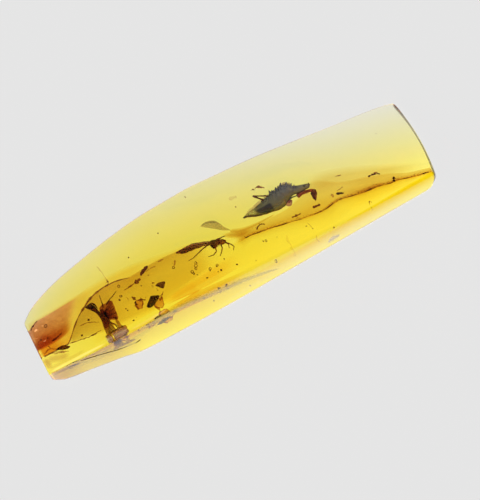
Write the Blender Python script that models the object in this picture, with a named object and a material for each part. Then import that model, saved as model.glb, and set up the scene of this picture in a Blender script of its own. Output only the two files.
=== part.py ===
"""Beetle in amber: one polished piece of clear amber, wide and cut off at one end and narrower at the
other, with a beetle, a spider-like insect, a second insect, flakes, bark and a lump of older resin sealed
in it. The amber is parted in two halves by a flat gap, so that each sealed thing is a solid in its own
pocket, and every pocket opens at that gap.

Lengths are in millimetres up to the point where a mesh is made, in metres. X runs along the piece to its
wide end, Y to its thin pale edge and Z up. The piece rests on a flat spot at Z = 0."""

from math import cos, pi, radians, sin, sqrt

import bmesh
import bpy
import numpy as np
from mathutils import Matrix, Vector

MM = 0.001

# The amber's outline seen from above, as smooth lines through (x, y)
HALF_LENGTH = 25.04
PALE_EDGE = [(-25.04, 2.95), (-24.2, 3.5), (-23.6, 3.86), (-21.3, 4.72), (-19.0, 5.35), (-15.6, 5.98),
             (-11.0, 6.66), (-6.4, 7.03), (-1.8, 7.06), (2.7, 6.75), (7.3, 6.32), (11.9, 5.69),
             (16.5, 4.97), (21.0, 4.38), (23.3, 4.03), (25.04, 3.6)]
THICK_EDGE = [(-25.04, -4.45), (-23.6, -5.1), (-20.7, -5.58), (-16.6, -6.25), (-14.4, -6.68),
              (-9.9, -6.88), (-5.0, -7.0), (0.0, -7.05), (12.0, -7.06), (23.3, -7.05), (24.3, -6.75),
              (25.04, -5.95)]

# The amber's thickness: a wedge that grows from the pale edge, as smooth lines through (x, value)
GREATEST_THICKNESS = [(-25.04, 5.0), (-18.0, 6.6), (-9.0, 7.6), (0.0, 7.5), (8.0, 6.9), (16.0, 6.1),
                      (25.04, 5.0)]
PALE_EDGE_THICKNESS = [(-25.04, 1.7), (-17.0, 2.2), (-8.0, 2.2), (-3.5, 1.95), (2.0, 1.55), (6.7, 1.15),
                       (11.3, 0.85), (16.0, 0.65), (22.7, 0.45), (25.04, 0.42)]
WEDGE_SLOPE = [(-25.04, 0.72), (-17.0, 0.72), (-8.0, 0.66), (-3.5, 0.6), (2.0, 0.56), (6.7, 0.52),
               (11.3, 0.41), (16.0, 0.3), (25.04, 0.25)]
WEDGE_HOLLOW = [(-25.04, 0.0), (2.0, 0.0), (6.7, 0.005), (11.3, 0.022), (16.0, 0.027), (25.04, 0.02)]
THICK_EDGE_THICKNESS = 1.5
SHOULDER_POWER = 1.4
RIDGE_BLEND = 2.0

# Where the shoulder starts to fall to the thick edge, and the upper line of the facet ground on it
SHOULDER_LINE = [(-25.04, -3.0), (-16.0, -3.5), (-9.6, -3.6), (0.0, -4.0), (8.0, -4.1), (25.04, -4.3)]
FACET_LINE = [(-25.04, -3.63), (-16.0, -4.1), (-9.6, -4.3), (-0.1, -5.35), (6.7, -6.3), (10.2, -6.6),
              (25.04, -6.6)]
FACET_END_X = 10.2
FACET_LEAST_WIDTH = 0.2
UNCUT_THICK_EDGE = -7.06

# The underside: a flat spot to rest on, with sides and ends that curve up from it
FLAT_HALF_LENGTH = 15.0
FLAT_FROM_THICK_EDGE = 0.25
FLAT_FROM_PALE_EDGE = 0.38
CORNER_CUT_FROM_X = 23.3
THICK_SIDE_LIFT = 1.1
PALE_SIDE_LIFT = 0.5
NARROW_END_LIFT = 0.9
WIDE_END_LIFT = 0.5

# Rounding of the long edges and the ends, the slant of the narrow end and the bow of the wide end
PALE_NOSE = [(-25.04, 0.7), (-8.0, 0.9), (7.0, 0.5), (25.04, 0.3)]
THICK_NOSE = 0.7
NOSE_LEVEL = 0.45
END_ROUNDING = 0.22
THIN_END_ROUNDING = 0.3
NARROW_END_SLANT = 0.048
NARROW_END_FROM = 20.0
WIDE_END_BOW_RADIUS = 21.0
WIDE_END_BOW_CENTRE_Y = -1.0
WIDE_END_FROM = 18.0

# The gap that parts the amber, which is also the room round each sealed thing
PARTING_Z = 2.0
GAP = 0.3

# How finely the meshes are divided
MIDDLE_STATIONS, END_STATIONS = 17, 7
TOP_COUNTS, UNDER_COUNTS = (3, 6, 2, 2, 3), (2, 2, 1, 3, 2)
BODY_SIDES, LUMP_SIDES = 14, 14
SMOOTH_ANGLE = 35.0
AMBER_SMOOTH_ANGLE = 25.0

# The beetle, about its own middle: X towards its head, Y towards its back
BEETLE_AT = (7.1, 0.3, 1.85)
BEETLE_SECTIONS_X = (-4.25, -3.9, -3.3, -2.4, -1.5, -0.6, 0.3, 1.2, 1.8, 2.15, 2.5, 3.0, 3.6, 4.1, 4.35)
BEETLE_LOW = [(-4.25, -0.03), (-3.4, -0.3), (-2.7, -0.62), (-1.75, -0.92), (-0.8, -1.12), (0.0, -1.28),
              (0.7, -1.22), (1.4, -0.85), (2.1, -0.58), (2.7, -0.66), (4.0, -0.72), (4.35, -0.4)]
BEETLE_HIGH = [(-4.25, 0.0), (-3.25, 0.3), (-2.2, 0.47), (-1.15, 0.75), (-0.35, 0.9), (0.6, 1.08),
               (1.6, 1.25), (2.1, 1.05), (2.6, 0.53), (3.4, 0.15), (4.1, -0.08), (4.35, -0.25)]
BEETLE_DEPTH = [(-4.25, 0.03), (-3.0, 0.28), (-1.5, 0.55), (0.3, 0.66), (1.9, 0.55), (2.5, 0.42),
                (3.5, 0.38), (4.2, 0.26), (4.35, 0.1)]
BEETLE_SPINES = [((-0.1, 0.8), (0.07, 1.5)), ((0.75, 0.9), (0.9, 1.36)), ((1.3, 1.0), (1.68, 1.56)),
                 ((1.95, 0.8), (2.2, 1.38))]
SPINE_RADII = (0.2, 0.03)
SPINE_HEIGHT = 0.05
BEETLE_LIMBS = [
    # The long hind leg, bent in a narrow V over the back
    ([(-0.3, 0.7, 0.12), (-1.88, 1.84, 0.15), (-1.0, 0.5, 0.12)], [0.09, 0.11, 0.09]),
    # The reddish front leg under the head, with its thick end
    ([(2.7, -0.3, -0.06), (2.6, -1.0, 0.03), (3.2, -0.95, 0.1), (3.88, -1.15, 0.1), (4.2, -1.5, 0.05),
      (3.85, -2.65, 0.0)], [0.16, 0.17, 0.16, 0.17, 0.2, 0.1]),
    # The folded middle leg below the thorax
    ([(0.95, -0.7, 0.05), (1.25, -1.6, 0.05), (1.6, -1.45, 0.1)], [0.2, 0.2, 0.12]),
]
BEETLE_EYE = ((3.75, -0.3, 0.22), (0.26, 0.22, 0.22), 0.0)

# The spider-like insect, about the middle of its body: its body's ovals and its legs
SPIDER_AT = (-1.1, -0.8, 2.2)
SPIDER_BODY = [((-0.26, 0.08, 0.0), (0.64, 0.46, 0.42), -14.0), ((0.53, -0.2, 0.0), (0.5, 0.36, 0.34), -22.0)]
SPIDER_LEGS = [
    [(-0.55, 0.25, 0.1), (-1.83, 0.25, 0.4), (-2.65, 0.0, 0.2), (-3.28, -0.18, 0.0), (-3.9, -0.19, -0.1)],
    [(-0.33, -0.1, 0.0), (-0.55, -0.77, 0.25), (-1.06, -0.97, 0.1), (-1.62, -0.88, -0.1)],
    [(0.28, -0.2, 0.0), (0.17, -0.98, 0.25), (-0.44, -1.42, -0.1)],
    [(0.7, -0.25, 0.0), (1.29, -0.9, 0.3), (1.45, -1.23, 0.1), (1.18, -1.62, -0.1)],
    [(0.65, -0.3, -0.1), (1.02, -0.8, -0.05), (0.9, -1.18, -0.2)],
    [(0.2, 0.1, 0.1), (0.5, 0.32, 0.1), (1.14, 0.26, 0.1)],
]
SPIDER_LEG_RADII = [0.13, 0.1, 0.08, 0.065, 0.05]

# The second insect, about its body's middle, with its fan-shaped abdomen to the right
SECOND_AT = (-16.2, -1.6, 2.4)
SECOND_BODY_RADII = (0.5, 0.7, 0.5)
SECOND_FAN = [(-0.2, 0.3), (-0.05, 1.1), (0.5, 1.25), (1.1, 1.27), (1.62, 1.16), (1.64, 0.6), (1.58, 0.1),
              (1.4, -0.68), (0.5, -0.55), (-0.1, -0.4)]
SECOND_FAN_THICKNESS = 0.5
SECOND_LIMBS = [
    # The stout dark arm that arches up from the body
    ([(-0.1, -0.1, 0.0), (-0.38, 0.5, 0.0), (-0.5, 1.15, 0.1), (-0.85, 1.9, 0.1)], [0.3, 0.24, 0.3, 0.32]),
    ([(-0.6, 1.75, 0.1), (-1.3, 1.85, 0.12)], [0.28, 0.1]),
    # The bundle of legs below the body
    ([(-0.2, -0.2, 0.1), (-0.5, -0.85, 0.12), (-0.66, -1.38, 0.0)], [0.28, 0.2, 0.08]),
    ([(0.0, -0.25, 0.0), (-0.22, -0.85, -0.02), (-0.3, -1.4, 0.0)], [0.28, 0.2, 0.08]),
    ([(0.15, -0.25, 0.1), (0.1, -0.85, 0.12), (0.08, -1.36, 0.05)], [0.24, 0.16, 0.08]),
    # The thin legs
    ([(0.2, -0.4, 0.0), (0.72, -1.05, 0.1), (0.85, -1.36, 0.0)], [0.12, 0.09, 0.06]),
    ([(0.5, 1.0, 0.05), (0.6, 1.75, 0.1), (0.72, 2.32, 0.1)], [0.11, 0.08, 0.05]),
    ([(0.9, 1.0, 0.05), (1.8, 1.45, 0.1), (2.63, 1.7, 0.1)], [0.11, 0.08, 0.05]),
]

# Flakes, shards and bark: each one's place, its outline about that place, its thickness and its height
FLAKES = {
    "bark_strip": ((-3.85, 0.1), [(-1.94, 0.43), (0.02, 0.48), (1.1, 0.05), (1.92, -0.3), (1.4, -0.34),
                                  (-0.1, -0.38), (-1.53, -0.05)], 0.5, 2.2),
    "teardrop_flake": ((-0.4, 1.0), [(-1.38, 0.92), (-0.75, 1.1), (0.27, 0.73), (0.69, 0.05), (1.0, -0.68),
                                     (1.33, -1.3), (0.6, -1.0), (-0.17, -0.28), (-1.08, 0.55)], 0.22, 2.05),
    "grey_flake": ((-16.0, -3.5), [(-1.35, 0.3), (-0.4, 0.36), (0.6, 0.3), (1.3, 0.32), (1.25, 0.0),
                                   (0.8, -0.32), (0.1, -0.28), (-0.7, -0.36), (-1.2, -0.15)], 0.3, 2.1),
    "leaf_sliver": ((-21.9, -2.1), [(-0.8, 0.2), (0.0, 0.12), (0.75, -0.12), (0.45, -0.28), (-0.3, -0.1)],
                    0.25, 2.0),
    "black_shard": ((-10.5, -2.6), [(0.02, 0.5), (0.9, 0.07), (-0.37, -0.46), (-0.92, -0.15)], 0.7, 2.2),
    "brown_flake_left": ((-11.95, -2.25), [(0.45, 0.1), (0.25, 0.42), (-0.25, 0.42), (-0.5, 0.08),
                                           (-0.4, -0.34), (0.05, -0.42)], 0.25, 2.2),
    "brown_flake_right": ((-9.95, -3.55), [(0.6, 0.3), (0.1, 0.38), (-0.45, 0.2), (-0.65, -0.15),
                                           (-0.1, -0.35), (0.55, -0.25)], 0.25, 2.2),
    "wedge_chip": ((-8.9, -1.75), [(-0.6, 0.25), (0.0, 0.33), (0.58, 0.13), (0.02, -0.36)], 0.4, 2.1),
}
TWIG_AT = (4.17, -1.6, 2.0)
TWIG = [(-0.55, -0.12, 0.0), (-0.3, 0.12, 0.05), (0.0, 0.2, 0.05), (0.3, 0.12, 0.0), (0.55, -0.08, 0.0)]
TWIG_RADIUS = 0.08

# The lump of older resin, about its place, as sections of (x, low y, high y, half depth)
LUMP_AT = (-21.5, 0.4, 2.3)
LUMP_SECTIONS = [(-2.55, -1.1, 1.55, 0.65), (-2.4, -1.32, 1.75, 0.78), (-1.6, -1.4, 1.85, 0.85),
                 (-0.7, -1.25, 1.85, 0.85), (0.3, -0.9, 1.75, 0.8), (1.3, -0.1, 1.65, 0.7),
                 (2.3, 0.7, 1.6, 0.45), (2.9, 1.1, 1.5, 0.15)]
LUMP_POCKET_STRETCH = 1.12

# Pockets, as (centre, radii or size, turn in degrees)
ROUND_POCKETS = [
    ((7.2, 0.2, 1.9), (5.2, 2.0, 1.05), -2.0),
    ((6.9, 1.4, 1.97), (2.8, 1.15, 0.6), 0.0),
    ((10.5, -1.2, 1.9), (1.5, 1.9, 0.65), 0.0),
]
BLOCK_POCKETS = [
    ((-2.2, -1.3, 2.2), (6.3, 3.1, 1.7), 0.0),
    ((-3.85, 0.15, 2.2), (4.6, 1.6, 1.3), 0.0),
    ((-0.45, 0.95, 2.05), (3.6, 3.1, 0.9), 0.0),
    ((-15.7, -1.2, 2.4), (4.7, 4.6, 1.9), 0.0),
    ((-16.0, -3.55, 2.15), (3.5, 1.5, 1.0), 0.0),
    ((-21.9, -2.2, 2.05), (2.4, 1.2, 0.9), 0.0),
    ((-10.85, -2.75, 2.2), (4.1, 2.9, 1.5), 0.0),
    ((-8.85, -1.8, 2.1), (2.0, 1.5, 1.15), 0.0),
    ((4.17, -1.6, 2.05), (1.9, 1.2, 0.9), 0.0),
]

# Each finish's colour, roughness and transmission, and the flakes that have it
FINISHES = {
    "amber": ((0.95, 0.72, 0.12), 0.05, 1.0),
    "beetle_black": ((0.05, 0.05, 0.045), 0.4, 0.0),
    "spider_maroon": ((0.12, 0.03, 0.02), 0.4, 0.0),
    "insect_brown": ((0.12, 0.06, 0.025), 0.45, 0.0),
    "bark_brown": ((0.06, 0.045, 0.035), 0.7, 0.0),
    "flake_grey": ((0.35, 0.3, 0.22), 0.5, 0.0),
    "flake_brown": ((0.4, 0.2, 0.04), 0.4, 0.0),
    "resin_red": ((0.5, 0.14, 0.03), 0.3, 0.0),
}
FLAKE_FINISHES = {
    "bark_strip": "bark_brown", "teardrop_flake": "flake_grey", "grey_flake": "flake_grey",
    "leaf_sliver": "bark_brown", "black_shard": "beetle_black", "brown_flake_left": "flake_brown",
    "brown_flake_right": "flake_brown", "wedge_chip": "bark_brown",
}
AMBER_IOR = 1.54


# The scene

def clear_scene():
    for thing in list(bpy.data.objects):
        bpy.data.objects.remove(thing, do_unlink=True)


def make_collection(name, parent=None):
    collection = bpy.data.collections.new(name)
    (parent or bpy.context.scene.collection).children.link(collection)
    return collection


def make_material(name):
    colour, roughness, transmission = FINISHES[name]
    material = bpy.data.materials.new(name)
    material.use_nodes = True
    shader = material.node_tree.nodes["Principled BSDF"]
    shader.inputs["Base Color"].default_value = (*colour, 1.0)
    shader.inputs["Roughness"].default_value = roughness
    shader.inputs["Metallic"].default_value = 0.0
    shader.inputs["Transmission Weight"].default_value = transmission
    shader.inputs["IOR"].default_value = AMBER_IOR
    material.diffuse_color = (*colour, 1.0)
    return material


def add_object(name, mesh, collection, material=None):
    thing = bpy.data.objects.new(name, mesh)
    collection.objects.link(thing)
    if material:
        mesh.materials.append(material)
    return thing


def add_cutter(name, mesh, collection):
    cutter = add_object(name, mesh, collection)
    cutter.hide_render = True
    cutter.display_type = "WIRE"
    return cutter


def smooth(thing, degrees=SMOOTH_ANGLE):
    thing.data.shade_smooth()
    thing.data.set_sharp_from_angle(angle=radians(degrees))


# The amber's form

def line_at(points, x):
    """The value at x of a smooth line through the points, which never swings past them."""
    xs, ys = np.array(points).T
    rises = np.diff(ys) / np.diff(xs)
    inner = [2 * a * b / (a + b) if a * b > 0 else 0.0 for a, b in zip(rises, rises[1:])]
    slopes = [rises[0], *inner, rises[-1]]
    i = int(np.clip(np.searchsorted(xs, x) - 1, 0, len(xs) - 2))
    step = xs[i + 1] - xs[i]
    t = min(max((x - xs[i]) / step, 0.0), 1.0)
    start = (1 + 2 * t) * (1 - t) ** 2 * ys[i] + t * (1 - t) ** 2 * step * slopes[i]
    return start + t * t * (3 - 2 * t) * ys[i + 1] + t * t * (t - 1) * step * slopes[i + 1]


def soft_least(a, b, blend):
    """The smaller of a and b, with the corner between them rounded."""
    near = max(blend - abs(a - b), 0.0) / blend
    return min(a, b) - near * near * blend / 4


def end_inset(x):
    """How far a section near an end is drawn in, for the rounded edge of the end's cut."""
    depth = min(max(END_ROUNDING - (HALF_LENGTH - abs(x)), 0.0), END_ROUNDING)
    return END_ROUNDING - sqrt(END_ROUNDING**2 - depth**2)


def wedge_thickness(x, y):
    """The thickness from the pale edge to the ridge, before the edges are rounded."""
    inward = max(line_at(PALE_EDGE, x) - y, 0.0)
    rise = line_at(WEDGE_SLOPE, x) * inward + line_at(WEDGE_HOLLOW, x) * inward**2
    return soft_least(line_at(PALE_EDGE_THICKNESS, x) + rise, line_at(GREATEST_THICKNESS, x), RIDGE_BLEND)


def shoulder_share(x, y):
    """How much of the thickness is left where the shoulder falls to the thick edge."""
    start = line_at(SHOULDER_LINE, x)
    edge = min(UNCUT_THICK_EDGE, line_at(THICK_EDGE, x))
    fall = min(max((start - y) / (start - edge), 0.0), 1.0)
    return (1 - fall**2) ** SHOULDER_POWER


def rounded_thickness(x, y):
    full = wedge_thickness(x, y)
    return THICK_EDGE_THICKNESS + (full - THICK_EDGE_THICKNESS) * shoulder_share(x, y)


def facet_thickness(x, y):
    """The thickness under the flat facet, which runs from the facet line down to the thick edge."""
    top, low = line_at(FACET_LINE, x), line_at(THICK_EDGE, x)
    share = (y - low) / max(top - low, FACET_LEAST_WIDTH)
    return THICK_EDGE_THICKNESS + (rounded_thickness(x, top) - THICK_EDGE_THICKNESS) * share


def thickness(x, y):
    whole = rounded_thickness(x, y)
    if x < FACET_END_X and y < line_at(FACET_LINE, x):
        return min(whole, facet_thickness(x, y))
    return whole


def flat_spot(x):
    """The underside's lines at x: the thick edge as if its corner weren't cut, the flat spot's two sides
    and the pale edge."""
    low, high = line_at(THICK_EDGE, min(x, CORNER_CUT_FROM_X)), line_at(PALE_EDGE, x)
    width = high - low
    return low, low + FLAT_FROM_THICK_EDGE * width, high - FLAT_FROM_PALE_EDGE * width, high


def underside(x, y):
    """The height of the underside, before the edges are rounded."""
    low, flat_low, flat_high, high = flat_spot(x)
    past_end = max(abs(x) - FLAT_HALF_LENGTH, 0.0) / (HALF_LENGTH - FLAT_HALF_LENGTH)
    past_low = max(flat_low - y, 0.0) / (flat_low - low)
    past_high = max(y - flat_high, 0.0) / (high - flat_high)
    end_lift = NARROW_END_LIFT if x < 0 else WIDE_END_LIFT
    return end_lift * past_end**2 + THICK_SIDE_LIFT * past_low**2 + PALE_SIDE_LIFT * past_high**2


def nose_share(inward, radius):
    """How much of the thickness stands at this distance in from a rounded edge."""
    return sqrt(1 - (1 - min(inward / radius, 1.0)) ** 2)


def end_shape(x, y):
    """x moved for the slanted cut of the narrow end and the bowed cut of the wide end."""
    if x < 0:
        near = max(-NARROW_END_FROM - x, 0.0) / (HALF_LENGTH - NARROW_END_FROM)
        return x + near**2 * NARROW_END_SLANT * (y - THICK_EDGE[0][1])
    near = max(x - WIDE_END_FROM, 0.0) / (HALF_LENGTH - WIDE_END_FROM)
    return x - near**2 * (y - WIDE_END_BOW_CENTRE_Y) ** 2 / (2 * WIDE_END_BOW_RADIUS)


def surface_point(x, y, on_top):
    """The point of the amber's top or underside over (x, y), as (x, y, z)."""
    inset = end_inset(x)
    low, high = line_at(THICK_EDGE, x) + inset, line_at(PALE_EDGE, x) - inset
    y = min(max(y, low), high)
    share = min(nose_share(high - y, line_at(PALE_NOSE, x)), nose_share(y - low, THICK_NOSE))
    full = thickness(x, y)
    inset = min(inset, THIN_END_ROUNDING * full)
    full -= 2 * inset
    middle = underside(x, y) + inset + NOSE_LEVEL * full
    reach = (1 - NOSE_LEVEL) * full if on_top else -NOSE_LEVEL * full
    return end_shape(x, y), y, middle + share * reach


def spread(stops, counts):
    """Values from each stop to the next, in that many steps."""
    values = [stops[0]]
    for start, end, count in zip(stops, stops[1:], counts):
        values += [start + (end - start) * i / count for i in range(1, count + 1)]
    return values


def section_ring(x):
    """One closed section of the amber: over the top from the pale edge to the thick one, and back."""
    inset = end_inset(x)
    low, high = line_at(THICK_EDGE, x) + inset, line_at(PALE_EDGE, x) - inset
    pale_nose = 0.8 * line_at(PALE_NOSE, x)
    facet = max(line_at(FACET_LINE, x), low + 0.6 * THICK_NOSE)
    shoulder = max(line_at(SHOULDER_LINE, x), facet + GAP)
    _, flat_low, flat_high, _ = flat_spot(x)
    top = spread([high, high - pale_nose, shoulder, facet, low + 0.5 * THICK_NOSE, low], TOP_COUNTS)
    under = spread([low, low + 0.8 * THICK_NOSE, flat_low, flat_high, high - pale_nose, high], UNDER_COUNTS)
    ring = [surface_point(x, y, True) for y in top]
    return ring + [surface_point(x, y, False) for y in under[1:-1]]


def stations():
    """The places along X that have a section: at the flat spot's ends, and close together at the cuts."""
    cut = [HALF_LENGTH - END_ROUNDING, HALF_LENGTH - 0.35 * END_ROUNDING, HALF_LENGTH]
    end = list(np.linspace(FLAT_HALF_LENGTH, cut[0] - 2 * END_ROUNDING, END_STATIONS)) + cut
    middle = list(np.linspace(-FLAT_HALF_LENGTH, FLAT_HALF_LENGTH, MIDDLE_STATIONS)[1:-1])
    return [-x for x in reversed(end)] + middle + end


# Shapes

def loft(name, rings):
    """A closed mesh through rings of (x, y, z) in millimetres, each end filled from its middle."""
    shape = bmesh.new()
    loops = [[shape.verts.new(Vector(point) * MM) for point in ring] for ring in rings]
    for first, second in zip(loops, loops[1:]):
        for i in range(len(first)):
            j = (i + 1) % len(first)
            shape.faces.new((first[i], first[j], second[j], second[i]))
    for loop, flip in ((loops[0], True), (loops[-1], False)):
        centre = shape.verts.new(sum((v.co for v in loop), Vector()) / len(loop))
        for i in range(len(loop)):
            pair = (loop[i], loop[(i + 1) % len(loop)])
            shape.faces.new((centre, *(pair[::-1] if flip else pair)))
    bmesh.ops.recalc_face_normals(shape, faces=shape.faces)
    mesh = bpy.data.meshes.new(name)
    shape.to_mesh(mesh)
    shape.free()
    return mesh


def oval_rings(sections, place, sides):
    """Rings for a loft from sections of (x, low y, high y, half depth) about a place."""
    rings = []
    for x, low, high, depth in sections:
        middle, half = (low + high) / 2, (high - low) / 2
        turns = [2 * pi * i / sides for i in range(sides)]
        rings.append(put([(x, middle + half * cos(a), depth * sin(a)) for a in turns], place))
    return rings


def primitive(name, kind, centre, lengths, turn, **settings):
    """A bmesh primitive of unit size, scaled, turned about Z by degrees and placed."""
    shape = bmesh.new()
    kind(shape, **settings)
    place = Matrix.Translation(Vector(centre) * MM) @ Matrix.Rotation(radians(turn), 4, "Z")
    place = place @ Matrix.Diagonal((*[length * MM for length in lengths], 1))
    bmesh.ops.transform(shape, verts=shape.verts, matrix=place)
    mesh = bpy.data.meshes.new(name)
    shape.to_mesh(mesh)
    shape.free()
    return mesh


def ball(name, centre, radii, turn, segments=12, rings=8):
    return primitive(name, bmesh.ops.create_uvsphere, centre, radii, turn, u_segments=segments,
                     v_segments=rings, radius=1.0)


def block(name, centre, size, turn=0.0):
    return primitive(name, bmesh.ops.create_cube, centre, size, turn, size=1.0)


def as_mesh(thing, name):
    """A curve object's shape as a mesh with its caps welded. The curve object is removed."""
    bpy.context.view_layer.update()
    graph = bpy.context.evaluated_depsgraph_get()
    mesh = bpy.data.meshes.new_from_object(thing.evaluated_get(graph))
    mesh.transform(thing.matrix_world)
    shape = bmesh.new()
    shape.from_mesh(mesh)
    bmesh.ops.remove_doubles(shape, verts=shape.verts, dist=2e-6)
    bmesh.ops.recalc_face_normals(shape, faces=shape.faces)
    shape.to_mesh(mesh)
    shape.free()
    mesh.name = name
    bpy.data.objects.remove(thing, do_unlink=True)
    return mesh


def curve_object(name, points, cyclic, collection):
    curve = bpy.data.curves.new(name, "CURVE")
    curve.dimensions = "2D" if cyclic else "3D"
    spline = curve.splines.new("POLY")
    spline.use_cyclic_u = cyclic
    spline.points.add(len(points) - 1)
    for point, place in zip(spline.points, points):
        point.co = (*[c * MM for c in place], 1.0)
    return add_object(name + "_curve", curve, collection)


def limb(name, points, radii, collection):
    """A leg, spine or twig as a mesh: a tapered tube through (x, y, z) points."""
    thing = curve_object(name, points, False, collection)
    thing.data.bevel_depth = MM
    thing.data.bevel_resolution = 1
    thing.data.use_fill_caps = True
    for point, radius in zip(thing.data.splines[0].points, radii):
        point.radius = radius
    return as_mesh(thing, name)


def plate(name, outline, thick, z, collection):
    """A flake: a flat outline of (x, y) points with its thickness about z."""
    thing = curve_object(name, [(x, y, 0.0) for x, y in outline], True, collection)
    thing.data.fill_mode = "BOTH"
    thing.data.extrude = thick * MM / 2
    thing.location.z = z * MM
    return as_mesh(thing, name)


def put(points, origin):
    """Points of a thing's own frame, moved to its place in the amber."""
    return [tuple(c + o for c, o in zip(point, origin)) for point in points]


def add_boolean(thing, operation, **operand):
    modifier = thing.modifiers.new(operation.title(), "BOOLEAN")
    modifier.operation = operation
    modifier.solver = "EXACT"
    for key, value in operand.items():
        setattr(modifier, key, value)


def fused(name, meshes, parts, cutters, material):
    """One solid from overlapping meshes: the first is kept, and the others are joined to it."""
    thing = add_object(name, meshes[0], parts, material)
    joined = [add_cutter(mesh.name, mesh, cutters) for mesh in meshes[1:]]
    for other in joined:
        add_boolean(thing, "UNION", object=other)
    bpy.context.view_layer.update()
    graph = bpy.context.evaluated_depsgraph_get()
    mesh = bpy.data.meshes.new_from_object(thing.evaluated_get(graph))
    for other in joined:
        bpy.data.objects.remove(other, do_unlink=True)
    thing.modifiers.clear()
    thing.data = mesh
    smooth(thing)
    return thing


# The sealed things

def make_beetle(parts, cutters, material):
    sections = [(x, line_at(BEETLE_LOW, x), line_at(BEETLE_HIGH, x), line_at(BEETLE_DEPTH, x))
                for x in BEETLE_SECTIONS_X]
    meshes = [loft("beetle_body", oval_rings(sections, BEETLE_AT, BODY_SIDES))]
    for i, ends in enumerate(BEETLE_SPINES):
        points = put([(*end, SPINE_HEIGHT) for end in ends], BEETLE_AT)
        meshes.append(limb(f"beetle_spine_{i}", points, SPINE_RADII, cutters))
    for i, (points, radii) in enumerate(BEETLE_LIMBS):
        meshes.append(limb(f"beetle_limb_{i}", put(points, BEETLE_AT), radii, cutters))
    centre, radii, turn = BEETLE_EYE
    meshes.append(ball("beetle_eye", put([centre], BEETLE_AT)[0], radii, turn, 8, 6))
    fused("beetle", meshes, parts, cutters, material)


def make_spider(parts, cutters, material):
    meshes = [ball(f"spider_body_{i}", put([centre], SPIDER_AT)[0], radii, turn)
              for i, (centre, radii, turn) in enumerate(SPIDER_BODY)]
    for i, points in enumerate(SPIDER_LEGS):
        radii = SPIDER_LEG_RADII[:len(points)]
        meshes.append(limb(f"spider_leg_{i}", put(points, SPIDER_AT), radii, cutters))
    fused("spider", meshes, parts, cutters, material)


def make_second_insect(parts, cutters, material):
    x, y, z = SECOND_AT
    fan = [(across + x, up + y) for across, up in SECOND_FAN]
    meshes = [ball("second_body", SECOND_AT, SECOND_BODY_RADII, 0.0),
              plate("second_fan", fan, SECOND_FAN_THICKNESS, z, cutters)]
    for i, (points, radii) in enumerate(SECOND_LIMBS):
        meshes.append(limb(f"second_limb_{i}", put(points, SECOND_AT), radii, cutters))
    fused("second_insect", meshes, parts, cutters, material)


def make_flakes(parts, cutters, materials):
    for name, ((x, y), outline, thick, z) in FLAKES.items():
        moved = [(across + x, up + y) for across, up in outline]
        mesh = plate(name, moved, thick, z, cutters)
        add_object(name, mesh, parts, materials[FLAKE_FINISHES[name]])
    twig = limb("twig", put(TWIG, TWIG_AT), [TWIG_RADIUS] * len(TWIG), cutters)
    smooth(add_object("twig", twig, parts, materials["bark_brown"]))


def make_lump(parts, material):
    rings = oval_rings(LUMP_SECTIONS, LUMP_AT, LUMP_SIDES)
    smooth(add_object("red_resin_lump", loft("red_resin_lump", rings), parts, material))


# The amber and its pockets

def make_pockets(pockets):
    for i, (centre, radii, turn) in enumerate(ROUND_POCKETS):
        add_cutter(f"round_pocket_{i}", ball(f"round_pocket_{i}", centre, radii, turn, 16, 10), pockets)
    for i, (centre, size, turn) in enumerate(BLOCK_POCKETS):
        add_cutter(f"block_pocket_{i}", block(f"block_pocket_{i}", centre, size, turn), pockets)
    room = [(x * LUMP_POCKET_STRETCH, low - GAP, high + GAP, depth + GAP)
            for x, low, high, depth in LUMP_SECTIONS]
    add_cutter("lump_pocket", loft("lump_pocket", oval_rings(room, LUMP_AT, LUMP_SIDES)), pockets)


def make_half(name, amber, heights, parts, cutters, pockets, material):
    """The amber between two heights, less the pockets."""
    half = add_object(name, amber.copy(), parts, material)
    low, high = heights
    size = (2.4 * HALF_LENGTH, HALF_LENGTH, high - low)
    slab = add_cutter(name + "_slab", block(name + "_slab", (0.0, 0.0, (low + high) / 2), size), cutters)
    add_boolean(half, "INTERSECT", object=slab)
    add_boolean(half, "DIFFERENCE", operand_type="COLLECTION", collection=pockets)
    smooth(half, AMBER_SMOOTH_ANGLE)


def main():
    clear_scene()
    parts, cutters = make_collection("beetle_in_amber"), make_collection("cutters")
    pockets = make_collection("pockets", cutters)
    materials = {name: make_material(name) for name in FINISHES}
    make_beetle(parts, cutters, materials["beetle_black"])
    make_spider(parts, cutters, materials["spider_maroon"])
    make_second_insect(parts, cutters, materials["insect_brown"])
    make_flakes(parts, cutters, materials)
    make_lump(parts, materials["resin_red"])
    make_pockets(pockets)
    whole = loft("amber", [section_ring(x) for x in stations()])
    halves = {"amber_lower_half": (-HALF_LENGTH, PARTING_Z - GAP / 2),
              "amber_upper_half": (PARTING_Z + GAP / 2, HALF_LENGTH)}
    for name, heights in halves.items():
        make_half(name, whole, heights, parts, cutters, pockets, materials["amber"])


main()
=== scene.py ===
"""Beetle in amber: the looks of one polished piece of clear amber and of all that is sealed in it.

Lengths are in millimetres up to the point where a mesh is made, in metres. X runs along the piece to its
wide end, Y to its thin pale edge and Z up, as in the frame. The films in the amber, the dust, the debris,
the bark, the grey flake and the red lump are placed by where they show from straight above: seen() works
out where they then have to be under the sloped top, which bends the light. All else is placed where it
is."""

from math import cos, pi, radians, sin, sqrt
from random import Random

import bmesh
import bpy
import numpy as np
from mathutils import Matrix, Vector, noise


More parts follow.
